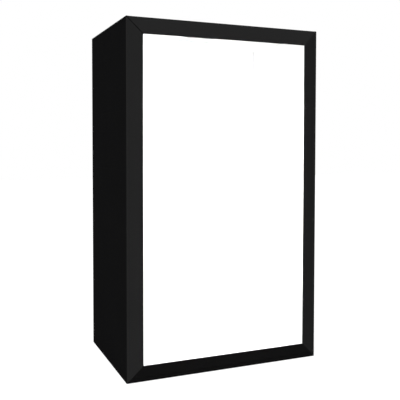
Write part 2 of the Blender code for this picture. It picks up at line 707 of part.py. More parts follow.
def rail_clip(rail_drop):
    """The neck and C clip of a top light's end cap, round the rail that runs along the bar's Y."""
    neck = box_between(
        "clip_neck",
        (CAP_FACE_X - CAP_LENGTH / 2, -NECK_WIDTH / 2, -rail_drop - NECK_HEIGHT / 2),
        (POST_X - TUBE_REACH - CLIP_WALL / 2, NECK_WIDTH / 2, -rail_drop + NECK_HEIGHT / 2),
    )
    ring = prism("clip_ring", clip_outline(-45), CLIP_WIDTH)
    upright = frame_matrix((POST_X, CLIP_WIDTH / 2, -rail_drop), (1, 0, 0), (0, 0, 1))
    ring.transform(upright)
    return [neck, ring]


def post_clip():
    """The C clip behind a side light's end cap, round the post that runs along the bar's X."""
    ring = prism("clip_ring", clip_outline(90), CAP_LENGTH)
    ring.transform(Matrix.Translation((0, 0, post_offset())) @ bar_length_frame(BAR_HALF_LENGTH + FIT_GAP))
    return [ring]


def post_offset():
    """How far behind a side light's web the post's axis lies."""
    return BAR_BACK + CAP_OVERHANG + CLIP_RADIUS - CLIP_WALL / 2


def rail_drop():
    """How far below a top light's web the rail's axis lies."""
    lens_over_axis = -TUBE_REACH + BAR_OVER_DIFFUSER
    return lens_over_axis + BAR_FRONT


def side_inlet():
    """The power inlet's recess, opening on the rear side of a top light's cap."""
    middle_x = CAP_FACE_X - CAP_LENGTH / 2
    side = BAR_WIDTH / 2 + CAP_OVERHANG
    middle_z = (BAR_BACK - BAR_FRONT) / 2
    return box_between(
        "inlet", (middle_x - INLET_WIDTH / 2, side - INLET_DEPTH, middle_z - INLET_HEIGHT / 2),
        (middle_x + INLET_WIDTH / 2, side + CUT_OVERRUN, middle_z + INLET_HEIGHT / 2),
    )


def end_inlet():
    """The same recess, opening on the end face of a side light's lower cap."""
    middle_z = (BAR_BACK - BAR_FRONT) / 2
    return box_between(
        "inlet", (CAP_FACE_X - INLET_DEPTH, -INLET_WIDTH / 2, middle_z - INLET_HEIGHT / 2),
        (CAP_FACE_X + CUT_OVERRUN, INLET_WIDTH / 2, middle_z + INLET_HEIGHT / 2),
    )


def cut_mesh(mesh, cutter_mesh, name):
    """A copy of a mesh with a recess cut into it."""
    target = helper(mesh.copy(), f"{name}_blank", Matrix.Identity(4))
    cutter = helper(cutter_mesh, f"{name}_cutter", Matrix.Identity(4))
    boolean(target, cutter, "DIFFERENCE")
    bpy.context.view_layer.update()
    graph = bpy.context.evaluated_depsgraph_get()
    made = bpy.data.meshes.new_from_object(target.evaluated_get(graph))
    for old in (target, cutter):
        bpy.data.objects.remove(old, do_unlink=True)
    made.name = name
    return made


def make_light(name, frame, caps, finishes):
    """One light bar in the frame of its empty; caps is a list of (name, mesh, at the +X end)."""
    length = 2 * BAR_HALF_LENGTH
    start = bar_length_frame(-BAR_HALF_LENGTH)
    housing = prism("housing", housing_outline(), length)
    place(housing, f"{name}_housing", finishes["aluminium"], frame, start)
    board_half = BAR_WIDTH / 2 - BAR_WALL - BOARD_SIDE_GAP
    board = box_between(
        "board", (-BAR_HALF_LENGTH, -board_half, -FIT_GAP - BOARD_THICKNESS),
        (BAR_HALF_LENGTH, board_half, -FIT_GAP),
    )
    place(board, f"{name}_board", finishes["board"], frame)
    lens = prism("lens", lens_outline(), length, smooth=True)
    place(lens, f"{name}_lens", finishes["lens"], frame, start)
    half_turn = Matrix.Rotation(math.pi, 4, "Z")
    for cap_name, mesh, at_far_end in caps:
        matrix = Matrix.Identity(4) if at_far_end else half_turn
        place(mesh, f"{name}_{cap_name}", finishes["moulding"], frame, matrix)


def light_travel():
    """The lowest and highest Y of each top light, where straps stop it short of the port."""
    first, second, third, last = STRAP_STATIONS
    return {
        "light_front": (first + STRAP_MARGIN, second - STRAP_MARGIN, FRONT_LIGHT_REST_SHARE),
        "light_rear": (third + STRAP_MARGIN, last - STRAP_MARGIN, REAR_LIGHT_REST_SHARE),
    }


def make_lights(finishes):
    """Two lights that slide on the top side rails, and two that swivel on the front posts."""
    drop = rail_drop()
    rail_cap = joined_mesh(cap_body() + rail_clip(drop), "rail_cap")
    rail_cap_inlet = cut_mesh(rail_cap, side_inlet(), "rail_cap_inlet")
    post_cap = joined_mesh(cap_body() + post_clip(), "post_cap")
    post_cap_inlet = cut_mesh(post_cap, end_inlet(), "post_cap_inlet")
    for name, (low, high, share) in light_travel().items():
        y = low + (high - low) * share
        frame = empty(f"{name}_carrier", Matrix.Translation((0, y, RAIL_HIGH_Z + drop)))
        caps = [("cap_right", rail_cap_inlet, True), ("cap_left", rail_cap, False)]
        make_light(name, frame, caps, finishes)
    for side in (LEFT, RIGHT):
        name = f"light_{SIDE_NAMES[side]}"
        facing = math.radians(SIDE_LIGHT_FACING_DEG)
        lens_way = Vector((-side * math.cos(facing), math.sin(facing), 0))
        height = TENT_HEIGHT * SIDE_LIGHT_HEIGHT_SHARE
        post = Vector((side * POST_X, FRONT_POST_Y, height))
        across = lens_way.cross(Vector((0, 0, 1)))
        turn = Matrix((Vector((0, 0, -1)), across, -lens_way)).transposed().to_4x4()
        swivel = empty(f"{name}_swivel", Matrix.Translation(post) @ turn)
        frame = empty(f"{name}_frame", Matrix.Identity(4))
        frame.parent = swivel
        frame.matrix_local = Matrix.Translation((0, 0, -post_offset()))
        caps = [("cap_lower", post_cap_inlet, True), ("cap_upper", post_cap, False)]
        make_light(name, frame, caps, finishes)


def build():
    clear_scene()
    finishes = make_materials()
    make_cover(finishes["oxford"])
    make_grommet(finishes["moulding"])
    make_flap(finishes["oxford"])
    make_border(finishes["border"])
    make_tubes(finishes["tube"])
    make_connectors(finishes["moulding"])
    make_backdrop(finishes["vinyl"])
    make_side_cloths(finishes["cloth"])
    make_top_diffuser(finishes["cloth"])
    make_lights(finishes)


build()
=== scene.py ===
# %% [markdown]
# # A tall photo light tent
# This lesson dresses a light tent: a black fabric box on a tube frame, with an open front and four
# light bars inside. The hard parts, such as tubes and mouldings, come from the CAD model and only
# get new finishes here. Everything that is sewn is modelled again below as real cloth.
# The first step loads the CAD model. It is a fixed frame that every new piece is built around.

# %% Load the fixed frame
import math

import bmesh
import bpy
import numpy as np
from mathutils import Matrix, Vector


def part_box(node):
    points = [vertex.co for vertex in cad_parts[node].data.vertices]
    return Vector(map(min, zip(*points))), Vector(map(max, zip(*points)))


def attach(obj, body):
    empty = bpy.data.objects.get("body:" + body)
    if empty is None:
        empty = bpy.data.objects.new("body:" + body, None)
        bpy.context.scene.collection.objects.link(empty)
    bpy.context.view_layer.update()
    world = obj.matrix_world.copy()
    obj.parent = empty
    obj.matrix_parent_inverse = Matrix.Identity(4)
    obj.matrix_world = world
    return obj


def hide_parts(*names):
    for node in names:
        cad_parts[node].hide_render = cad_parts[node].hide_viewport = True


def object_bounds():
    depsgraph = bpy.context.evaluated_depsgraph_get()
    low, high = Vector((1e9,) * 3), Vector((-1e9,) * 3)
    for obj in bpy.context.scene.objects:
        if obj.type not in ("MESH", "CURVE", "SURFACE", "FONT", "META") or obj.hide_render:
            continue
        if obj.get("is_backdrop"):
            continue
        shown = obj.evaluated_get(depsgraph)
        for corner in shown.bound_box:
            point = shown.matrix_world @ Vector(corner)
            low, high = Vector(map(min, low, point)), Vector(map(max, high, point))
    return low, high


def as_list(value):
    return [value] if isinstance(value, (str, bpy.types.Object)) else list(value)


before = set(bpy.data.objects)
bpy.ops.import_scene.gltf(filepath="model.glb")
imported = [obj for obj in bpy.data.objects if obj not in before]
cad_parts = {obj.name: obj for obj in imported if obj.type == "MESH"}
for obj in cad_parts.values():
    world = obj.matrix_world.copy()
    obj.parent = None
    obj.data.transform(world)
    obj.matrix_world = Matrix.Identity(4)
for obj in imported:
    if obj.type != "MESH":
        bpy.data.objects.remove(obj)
cad_low, cad_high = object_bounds()
scene = bpy.context.scene
scene.view_settings.view_transform = "Standard"
print("frame:", len(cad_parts), "nodes, from", cad_low[:], "to", cad_high[:])

# %% [markdown]
# ## The camera
# The photo was taken from the left of the tent, at about chest height, looking a little to the
# right and very slightly down. Its upright edges stay nearly upright, so the lens is shifted
# instead of being tilted more, as a studio photographer would do it.

# %% Camera
CAMERA_PLACE = Vector((-1.5357, -3.6497, 1.3043))
CAMERA_YAW_DEG = 22.776
CAMERA_PITCH_DEG = -2.068
CAMERA_ROLL_DEG = 0.075
CAMERA_LENS_MM = 56.09
CAMERA_SENSOR_MM = 36
CAMERA_SHIFT_Y = -0.0798

lens = bpy.data.cameras.new("camera")
lens.sensor_width = CAMERA_SENSOR_MM
lens.lens = CAMERA_LENS_MM
lens.shift_y = CAMERA_SHIFT_Y
camera = bpy.data.objects.new("camera", lens)
scene.collection.objects.link(camera)
turn = Matrix.Rotation(math.radians(-CAMERA_YAW_DEG), 4, "Z")
turn @= Matrix.Rotation(math.radians(90 + CAMERA_PITCH_DEG), 4, "X")
turn @= Matrix.Rotation(math.radians(CAMERA_ROLL_DEG), 4, "Z")
camera.matrix_world = Matrix.Translation(CAMERA_PLACE) @ turn
scene.camera = camera
print("camera at", CAMERA_PLACE[:], "with a", CAMERA_LENS_MM, "mm lens")

# %% [markdown]
# ## Wiring shader nodes
# Every finish below is a small tree of nodes. To keep them readable, a node's output is wrapped as
# a Wire, so that adding or multiplying two wires adds the Math node that does it.

# %% A wire between nodes
class Wire:
    """A node's output. A sign between it and a number or another Wire adds a Math node."""

    def __init__(self, socket):
        self.socket, self.tree = socket, socket.id_data

    def math(self, operation, *others):
        return calc(self.tree, operation, self, *others)

    def __add__(self, other):
        return self.math("ADD", other)

    def __sub__(self, other):
        return self.math("SUBTRACT", other)

    def __mul__(self, other):
        return self.math("MULTIPLY", other)

    def __truediv__(self, other):
        return self.math("DIVIDE", other)

    def __rsub__(self, number):
        return calc(self.tree, "SUBTRACT", number, self)

    def __rtruediv__(self, number):
        return calc(self.tree, "DIVIDE", number, self)

    def __abs__(self):
        return self.math("ABSOLUTE")


# %% Adding and feeding nodes
def feed(node, values):
    """Sets inputs by name or number. A Wire is linked, and anything else is written in."""
    for label, value in values.items():
        socket = node.inputs[label]
        if isinstance(value, Wire):
            value.tree.links.new(value.socket, socket)
        else:
            socket.default_value = (*value, 1) if socket.type == "RGBA" else value


def add_node(tree, kind, values, output=0, **settings):
    """Adds a shader node, feeds it and returns one of its outputs."""
    node = tree.nodes.new(f"ShaderNode{kind}")
    for label, value in settings.items():
        setattr(node, label, value)
    feed(node, values)
    return Wire(node.outputs[output])


def calc(tree, operation, *values):
    """A Math node. Each value is a number or a Wire."""
    return add_node(tree, "Math", dict(enumerate(values)), operation=operation)


def mixed(tree, share, first, second, blend="MIX"):
    """A Mix Color node. Colours are tuples or Wires."""
    colours = {0: share, 6: first, 7: second}
    return add_node(tree, "Mix", colours, output=2, data_type="RGBA", blend_type=blend)


def grey(value):
    return add_node(value.tree, "CombineColor", {0: value, 1: value, 2: value})


def tinted(colour, tone):
    """A colour made lighter and darker by a Wire."""
    return mixed(tone.tree, 1.0, colour, grey(tone), "MULTIPLY")


def around(value, middle, spread):
    """A value from 0 to 1, made to vary by spread around a middle."""
    return value * spread + (middle - spread / 2)


def bumped(height):
    """A normal from a height in metres."""
    return add_node(height.tree, "Bump", {"Strength": 1.0, "Distance": 1.0, "Height": height})


def new_finish(name, roughness, gloss, metal=0.0):
    """A material with a Principled shader: the material, its node tree and the shader."""
    made = bpy.data.materials.new(name)
    made.use_nodes = True
    shader = made.node_tree.nodes["Principled BSDF"]
    feed(shader, {"Roughness": roughness, "Specular IOR Level": gloss, "Metallic": metal})
    return made, made.node_tree, shader


# %% [markdown]
# ## Floor and light
# The studio is an even white dome of light, with one large soft lamp high in front and a little to
# the left, so the top and left strips of the border come out lighter than the other two; painted shade
# in the strips' own blacks adds to that. The floor is pale. The camera sees it and the world as white,
# by way of the Light Path node, while the tent's own light and shadow stay as they are.

# %% World
DOME_STRENGTH = 0.80


def seen_directly(tree):
    """1 for what the camera sees, also in a reflection or through something clear."""
    path = tree.nodes.new("ShaderNodeLightPath").outputs
    seen, glossy, clear = (Wire(path[f"Is {kind} Ray"]) for kind in ("Camera", "Glossy", "Transmission"))
    return seen.math("MAXIMUM", glossy).math("MAXIMUM", clear)


world = bpy.data.worlds.new("studio")
scene.world = world
world.use_nodes = True
tree = world.node_tree
tree.nodes.clear()
dome = add_node(tree, "Background", {"Color": (1, 1, 1), "Strength": DOME_STRENGTH})
white = add_node(tree, "Background", {"Color": (1, 1, 1)})
light = add_node(tree, "MixShader", {0: seen_directly(tree), 1: dome, 2: white})
feed(tree.nodes.new("ShaderNodeOutputWorld"), {"Surface": light})
print("world: white to the camera, a dome of", DOME_STRENGTH, "to the tent")

# %% Key lamp
KEY_STRENGTH = 2.2
KEY_SPREAD_DEG = 30
KEY_AIM = Vector((0.28, 0.27, -1.0))

key_light = bpy.data.lights.new("key", "SUN")
key_light.energy = KEY_STRENGTH
key_light.angle = math.radians(KEY_SPREAD_DEG)
key = bpy.data.objects.new("key", key_light)
scene.collection.objects.link(key)
key.rotation_euler = KEY_AIM.to_track_quat("-Z", "Y").to_euler()
print("key lamp: strength", KEY_STRENGTH, "from", (-KEY_AIM.normalized())[:])

# %% Floor
FLOOR_SIZE = 40
FLOOR_DROP = 0.0002
FLOOR_PALE = 0.55
FLOOR_SHADE_SHARE = 0.16
FLOOR_WHITE = 0.90


def settle():
    """Back to object mode with nothing selected, which is how each step starts."""
    if bpy.context.object and bpy.context.object.mode != "OBJECT":
        bpy.ops.object.mode_set(mode="OBJECT")
    bpy.ops.object.select_all(action="DESELECT")


settle()
bpy.ops.mesh.primitive_plane_add(size=FLOOR_SIZE, location=(0, 0, cad_low.z - FLOOR_DROP))
floor = bpy.context.object
floor.name = "floor"
bpy.ops.object.transform_apply(location=True, rotation=True, scale=True)
floor_finish, tree, shader = new_finish("pale_floor", roughness=0.9, gloss=0.0)
seen = seen_directly(tree)
feed(shader, {
    "Base Color": grey(seen * (FLOOR_SHADE_SHARE - FLOOR_PALE) + FLOOR_PALE),
    "Emission Color": (1, 1, 1), "Emission Strength": seen * FLOOR_WHITE,
})
floor.data.materials.append(floor_finish)
floor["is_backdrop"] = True
print("floor:", FLOOR_SIZE, "m across, at z", round(floor.data.vertices[0].co.z, 4))

# %% [markdown]
# ## Effects that several finishes share
# Woven thread, uneven colour, packing creases and stitches turn up in many of the finishes below.
# Each of them is made once, as a node group with named sockets, and then placed in a material with
# values of its own. The groups only put out numbers that change over the surface. The shader
# itself stays in the material. Patterns on cloth follow a UV map in metres that moves with it.

# %% Making and placing a node group
def new_group(build, **inputs):
    """A node group from a function that takes its inputs and returns its outputs by name. An input
    whose default is None is a vector."""
    group = bpy.data.node_groups.new(build.__name__, "ShaderNodeTree")
    for label, value in inputs.items():
        kind = "NodeSocketVector" if value is None else "NodeSocketFloat"
        socket = group.interface.new_socket(name=label, in_out="INPUT", socket_type=kind)
        if value is not None:
            socket.default_value = value
    given = group.nodes.new("NodeGroupInput").outputs
    results = build(*(Wire(given[label]) for label in inputs))
    for label in results:
        group.interface.new_socket(name=label, in_out="OUTPUT", socket_type="NodeSocketFloat")
    feed(group.nodes.new("NodeGroupOutput"), results)
    print(f"group {group.name}: {len(group.nodes)} nodes")


def use_group(tree, name, **values):
    """Places a node group in a material and returns its outputs by name."""
    node = tree.nodes.new("ShaderNodeGroup")
    node.node_tree = bpy.data.node_groups[name]
    feed(node, values)
    return {socket.name: Wire(socket) for socket in node.outputs}


def scaled(vector, by):
    return add_node(vector.tree, "VectorMath", {0: vector, "Scale": by}, operation="SCALE")


def noise(vector, size, detail=2.0):
    """Soft random values, about size apart in the vector's own unit."""
    return add_node(vector.tree, "TexNoise", {"Vector": vector, "Scale": 1 / size, "Detail": detail})


def split(vector):
    """The x, y and z of a vector."""
    node = vector.tree.nodes.new("ShaderNodeSeparateXYZ")
    feed(node, {0: vector})
    return [Wire(socket) for socket in node.outputs]


# %% Groups: woven threads and uneven colour
THREADS_PER_SLUB, SLUB_SHIFT = 9.0, 0.5
THREAD_LOW, THREAD_BULGE = 0.55, 0.45
WIDE_PATCH, CLOSE_PATCH, SPECK = 0.35, 0.012, 0.004
WIDE_SHARE = 1.4
SPECKS_FROM = 0.66


def woven_threads(vector, thread):
    """Threads that pass over and under each other, with a slightly uneven spacing. Their colour is painted
    lighter on the raised threads and darker in the gaps between them, as painted shade.
    """
    counted = scaled(vector, 1.0 / thread)
    uneven = noise(counted, THREADS_PER_SLUB) * SLUB_SHIFT
    x, y = (way + uneven for way in split(counted)[:2])
    warp, weft = (abs((way * math.pi).math("SINE")) for way in (x, y))
    over = (x.math("FLOOR") + y.math("FLOOR")).math("PINGPONG", 1.0)
    warp_up = warp * (weft * THREAD_BULGE + THREAD_LOW)
    weft_up = weft * (warp * THREAD_BULGE + THREAD_LOW)
    height = warp_up + over * (weft_up - warp_up)
    return {"Height": height, "Painted Shade": around(height, 0.98, 0.36)}


def uneven_colour(vector, amount):
    """Tone varies in wide and in close patches. Dust is a mask of rare specks."""
    wide, close = noise(vector, WIDE_PATCH) - 0.5, noise(vector, CLOSE_PATCH, detail=4.0) - 0.5
    specks = (noise(vector, SPECK, detail=1.0) - SPECKS_FROM) * 2.0
    return {"Tone": (wide * WIDE_SHARE + close) * amount + 1.0, "Dust": specks.math("MAXIMUM", 0.0)}


new_group(woven_threads, Vector=None, Thread=0.0008)
new_group(uneven_colour, Vector=None, Amount=0.1)

# %% Groups: packing creases and a row of stitches
CREASE_BEND, CREASE_SWAY = 0.2, 0.006
STITCH_SHARE = 0.72
STITCH_DIP_THREADS, STITCH_DIP = 3.0, 0.6


def packing_creases(vector, spacing, width):
    """Soft lines both ways, where the cloth was folded to pack it. They sway a little."""
    sway = (noise(vector, CREASE_BEND) - 0.5) * CREASE_SWAY
    lines = []
    for place in split(vector)[:2]:
        away = abs(((place + sway) / spacing).math("FRACT") - 0.5) * spacing
        lines.append((1.0 - away / width).math("MAXIMUM", 0.0))
    return {"Line": lines[0].math("MAXIMUM", lines[1])}


def stitch_row(along, across, pitch, thread):
    """One raised thread in each pitch, lying in a dip of the cloth."""
    lengthways = (along / pitch).math("FRACT") / STITCH_SHARE * 2.0 - 1.0
    lengthways = 1.0 - lengthways * lengthways
    sideways = across * 2.0 / thread
    sideways = 1.0 - sideways * sideways
    bulge = lengthways.math("MAXIMUM", 0.0) * sideways.math("MAXIMUM", 0.0)
    dip = (1.0 - abs(across) / (thread * STITCH_DIP_THREADS)).math("MAXIMUM", 0.0)
    return {"Mask": (bulge * 4.0).math("MINIMUM", 1.0), "Height": bulge - dip * STITCH_DIP}


new_group(packing_creases, Vector=None, Spacing=0.33, Width=0.003)
new_group(stitch_row, Along=0.0, Across=0.0, Pitch=0.004, Thread=0.0009)

# %% [markdown]
# ## Cloth finishes
# The cover is black coated Oxford cloth: a plain weave of flat threads, dull, with hardly any
# shine. The border is the same kind of cloth with thicker threads. The white cloths inside are
# smoother. One function builds them all from the shared groups, and each finish passes in its own
# colour, thread size and rows of stitches.

# %% The cloth finish
DUST_GREY = (0.20, 0.19, 0.18)
CREASE_WEAR, CREASE_PALER = 0.25, 1.5
STITCH_HEIGHT, STITCH_COVER = 0.0004, 0.8
SMOOTHER_ON_TOP = 0.08


def cloth_finish(name, colour, thread, relief, roughness=0.9, gloss=0.0, uneven=0.10, dust=0.0,
                 rows=(), crease=0.0, thread_colour=None, light_through=0.0):
    """Woven cloth. Each row is a function of (u, v) that returns the along and across of a line of
    stitches. relief and crease are heights in metres. light_through is the share of light that a
    thin white cloth lets pass."""
    made, tree, shader = new_finish(name, roughness, gloss)
    flat = add_node(tree, "UVMap", {}, uv_map="metres")
    weave = use_group(tree, "woven_threads", Vector=flat, Thread=thread)
    tone = use_group(tree, "uneven_colour", Vector=flat, Amount=uneven)
    # The weave's painted shade darkens the colour in the gaps between threads.
    painted = tinted(colour, weave["Painted Shade"] * tone["Tone"])
    height = weave["Height"] * relief
    if crease:
        line = use_group(tree, "packing_creases", Vector=flat)["Line"]
        height = line * crease + height
        painted = mixed(tree, line * CREASE_WEAR, painted, [CREASE_PALER * part for part in colour])
    if dust:
        painted = mixed(tree, tone["Dust"] * dust, painted, DUST_GREY)
    u, v, _ = split(flat)
    for row in rows:
        along, across = row(u, v)
        stitches = use_group(tree, "stitch_row", Along=along, Across=across)
        painted = mixed(tree, stitches["Mask"] * STITCH_COVER, painted, thread_colour)
        height = stitches["Height"] * STITCH_HEIGHT + height
    feed(shader, {
        "Base Color": painted, "Roughness": weave["Height"] * -SMOOTHER_ON_TOP + roughness,
        "Transmission Weight": light_through, "Normal": bumped(height),
    })
    return made


def row_at(place):
    """A row of stitches that runs along u, at this v."""
    return lambda u, v: (u, v - place)


def row_each_side(place):
    """A row on each side of the line v = 0."""
    return lambda u, v: (u, abs(v) - place)


# %% Black and white cloths
COVER_BLACK = (0.0064, 0.0064, 0.0066)
SEAM_THREAD_BLACK = (0.020, 0.020, 0.021)
WHITE = (0.93, 0.93, 0.925)
SILVER = (0.62, 0.63, 0.64)
TAPE_WIDTH = 0.014
TAPE_INNER_ROW, TAPE_OUTER_ROW = 0.0055, TAPE_WIDTH - 0.0025


def tape_finish(name, *rows):
    """Black tape with a coarse weave, stitched down along these rows."""
    return cloth_finish(name, COVER_BLACK, thread=0.0011, relief=0.00016, uneven=0.08,
                        rows=rows, thread_colour=SEAM_THREAD_BLACK)


def white_finish(name, **more):
    return cloth_finish(name, WHITE, thread=0.0006, relief=0.00005, uneven=0.02, **more)


oxford = cloth_finish("black_oxford", COVER_BLACK, thread=0.00075, relief=0.00012, dust=0.010,
                      crease=0.00035)
tape = tape_finish("black_seam_tape", row_each_side(TAPE_OUTER_ROW), row_each_side(TAPE_INNER_ROW))
lining = cloth_finish("silver_lining", SILVER, thread=0.0009, relief=0.00010, roughness=0.45, gloss=0.5,
                      crease=0.0003)
white_cloth = white_finish("white_cloth", roughness=0.85, gloss=0.2, crease=0.0002)
print("cloth finishes:", [m.name for m in (oxford, tape, lining, white_cloth)])

# %% [markdown]
# ## Tools for sewn pieces
# A taut panel starts as a grid of squares, added at its size and place. Its points are then moved
# a little, as the frame pulls on the cloth, and the Solidify modifier gives it its thickness. The
# helpers below do these steps. The UV map that comes with the grid is scaled to metres, so that
# threads and stitches keep their size on every piece.

# %% Adding a flat sheet
def add_sheet(name, centre, size, across, up, step=math.inf):
    """A grid of squares, step apart, whose U runs along across and V along up."""
    settle()
    across, up = Vector(across), Vector(up)
    turn = Matrix((across, up, across.cross(up))).transposed().to_euler()
    bpy.ops.mesh.primitive_grid_add(
        x_subdivisions=max(1, round(size[0] / step)), y_subdivisions=max(1, round(size[1] / step)),
        size=1, location=centre, rotation=turn,
    )
    piece = bpy.context.object
    piece.name = piece.data.name = name
    piece.scale = (size[0], size[1], 1)
    bpy.ops.object.transform_apply(location=True, rotation=True, scale=True)
    layer = piece.data.uv_layers[0]
    layer.name = "metres"
    uv = np.zeros(len(layer.data) * 2, np.float32)
    layer.data.foreach_get("uv", uv)
    layer.data.foreach_set("uv", ((uv.reshape(-1, 2) - 0.5) * size).astype(np.float32).ravel())
    return piece


def lay_uv(piece, unroll):
    """Writes the UV map in metres from a function of a point's place."""
    layer = piece.data.uv_layers.get("metres") or piece.data.uv_layers.new(name="metres")
    for loop in piece.data.loops:
        layer.data[loop.index].uv = unroll(piece.data.vertices[loop.vertex_index].co)


# %% Moving points, choosing them, extruding and cutting
NEAR = 0.0001


def sculpt(piece, move):
    """Moves all of a mesh's points: move takes them as an array and returns their new places."""
    points = np.zeros(len(piece.data.vertices) * 3, np.float32)
    piece.data.vertices.foreach_get("co", points)
    moved = move(points.reshape(-1, 3).astype(float))
    piece.data.vertices.foreach_set("co", moved.astype(np.float32).ravel())
    piece.data.update()


def pick(piece):
    """Makes a piece the only one that is selected, and the active one."""
    settle()
    bpy.context.view_layer.objects.active = piece
    piece.select_set(True)


def edit(piece, test=None, kind="EDGE"):
    """Opens a piece in edit mode with the edges or faces selected whose points pass a test."""
    pick(piece)
    bpy.ops.object.mode_set(mode="EDIT")
    bpy.ops.mesh.select_mode(type=kind)
    bpy.ops.mesh.select_all(action="SELECT" if test is None else "DESELECT")
    if test is None:
        return
    shape = bmesh.from_edit_mesh(piece.data)
    for item in {"EDGE": shape.edges, "FACE": shape.faces}[kind]:
        item.select_set(all(test(point.co) for point in item.verts))
    shape.select_flush_mode()
    bmesh.update_edit_mesh(piece.data)


def extrude(step):
    bpy.ops.mesh.extrude_region_move(TRANSFORM_OT_translate={"value": step})


def cut(piece, point, normal, keep_all=False):
    """Cuts along a plane. Unless all is kept, what lies on the normal's side is thrown away."""
    edit(piece, kind="VERT")
    bpy.ops.mesh.bisect(plane_co=point, plane_no=normal, use_fill=not keep_all, clear_outer=not keep_all)
    settle()


# %% Thickness, Booleans and finishing
def apply_modifier(piece, kind, **settings):
    pick(piece)
    step = piece.modifiers.new(kind.lower(), kind)
    for label, value in settings.items():
        setattr(step, label, value)
    bpy.ops.object.modifier_apply(modifier=step.name)


def thicken(piece, thickness, offset=-1, lined=False):
    """Gives a sheet its thickness, behind its face for an offset of -1."""
    apply_modifier(piece, "SOLIDIFY", thickness=thickness, offset=offset, use_even_offset=True,
                   material_offset=1 if lined else 0)


def carve(piece, cutter, operation="DIFFERENCE"):
    apply_modifier(piece, "BOOLEAN", operation=operation, object=cutter, solver="EXACT")
    bpy.data.objects.remove(cutter, do_unlink=True)


def finish_piece(piece, slot, *finishes, body="tent", angle=35):
    """Materials, smooth shading, and the body that the piece rides on."""
    for made in finishes:
        piece.data.materials.append(made)
    pick(piece)
    bpy.ops.object.shade_smooth_by_angle(angle=math.radians(angle))
    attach(piece, body)
    settle()
    print(f"{piece.name}: {len(piece.data.polygons)} faces")


# %% [markdown]
# ## The cover's five panels
# Each panel is cut a little smaller than the frame, so it is stretched tight. It dips slightly
# inwards between the tubes, and fine tension folds run in from its corners. The side, back and top
# panels get both, in millimetres only, because the photo shows the tent as flat as a board. The
# floor panel lies on the ground.

# %% A taut panel
COVER_SHEET = 0.0014
FLAT_RIM = 0.016
DIP_REACH = 0.30
FOLD_REACH = 0.16
FOLD_RIM = 0.03
FOLD_TURNS = 13
FOLD_SHIFT = 1.3


def smooth(share):
    share = np.clip(share, 0, 1)
    return share * share * (3 - 2 * share)


def pull_taut(piece, centre, size, across, up, dip, ripple):
    """Sinks the middle by dip and adds tension folds, ripple high, that run in from the corners."""
    across, up = np.array(across, float), np.array(up, float)
    outward, middle = np.cross(across, up), np.array(centre)

    def pull(points):
        s, t = (points - middle) @ across, (points - middle) @ up
        from_side, from_end = size[0] / 2 - abs(s), size[1] / 2 - abs(t)
        sink = dip * smooth((from_side - FLAT_RIM) / DIP_REACH) * smooth((from_end - FLAT_RIM) / DIP_REACH)
        corner = (s > 0) + 2 * (t > 0)
        away, angle = np.hypot(from_side, from_end), np.arctan2(from_end, from_side)
        fold = ripple * np.exp(-away / FOLD_REACH) * np.sin(FOLD_TURNS * angle + FOLD_SHIFT * corner)
        fold *= smooth((np.minimum(from_side, from_end) - FLAT_RIM) / FOLD_RIM)
        return points - outward * (sink + fold)[:, None]

    sculpt(piece, pull)


def cover_panel(node, across, up, slack, step=0.016):
    """Lies on the face of the CAD node's box that looks along across x up. slack is (dip, ripple)."""
    low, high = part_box(node)
    across, up = Vector(across), Vector(up)
    outward, reach = across.cross(up), high - low
    centre = (low + high) / 2 + outward * abs(reach.dot(outward)) / 2
    size = (abs(reach.dot(across)), abs(reach.dot(up)))
    piece = add_sheet(f"{node}_cloth", centre, size, across, up, step)
    pull_taut(piece, centre, size, across, up, *slack)
    piece.data.materials.append(oxford)
    piece.data.materials.append(lining)
    thicken(piece, COVER_SHEET, lined=True)
    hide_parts(node)
    return piece, size


# %% Side, back, top and floor panels
UP, DOWN = (0, 0, 1), (0, 0, -1)
LEFTWARDS, RIGHTWARDS = (-1, 0, 0), (1, 0, 0)
FORWARDS, REARWARDS = (0, -1, 0), (0, 1, 0)
WALL_SLACK, TOP_SLACK, FLOOR_SLACK = (0.0030, 0.0010), (0.0012, 0.0004), (0.0, 0.0)

cover = {
    "left": cover_panel("cover_left", FORWARDS, UP, WALL_SLACK),
    "right": cover_panel("cover_right", REARWARDS, UP, WALL_SLACK),
    "back": cover_panel("cover_back", LEFTWARDS, UP, WALL_SLACK),
    "top": cover_panel("cover_top", RIGHTWARDS, REARWARDS, TOP_SLACK),
    "floor": cover_panel("cover_floor", RIGHTWARDS, FORWARDS, FLOOR_SLACK, step=0.03),
}
print("cover panels:", {name: [round(n, 3) for n in size] for name, (_, size) in cover.items()})

# %% [markdown]
# ## Holes in the cover
# The top has a round-cornered port to shoot down through, and the back has a round hole for the
# lights' cables. Each is cut with a Boolean: a cutter is added where the hole goes, taken away
# from the panel, and deleted.

# %% Cutting holes
PORT_SIZE = (0.260, 0.180)
PORT_CORNER = 0.030
FLAP_OVERLAP = 0.022
CABLE_HOLE_RADIUS = 0.0193
CUTTER_DEPTH = 0.05

flap_low, flap_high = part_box("top_flap")
hinge_y = flap_high.y
port_middle = Vector((0, hinge_y - FLAP_OVERLAP - PORT_SIZE[1] / 2, cad_high.z))
port_area = PORT_SIZE[0] * PORT_SIZE[1]
grommet_low, grommet_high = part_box("cable_grommet")


def rounded_block(middle, size, corner, depth=CUTTER_DEPTH, steps=6):
    """A block with rounded upright edges."""
    settle()
    bpy.ops.mesh.primitive_cube_add(size=1, location=middle, scale=(size[0], size[1], depth))
    block = bpy.context.object
    bpy.ops.object.transform_apply(location=True, rotation=True, scale=True)
    edit(block, lambda co: False)
    shape = bmesh.from_edit_mesh(block.data)
    for edge in shape.edges:
        if abs(edge.verts[0].co.z - edge.verts[1].co.z) > depth / 2:
            edge.select_set(True)
    bmesh.update_edit_mesh(block.data)
    bpy.ops.mesh.bevel(offset=corner, segments=steps)
    settle()
    return block


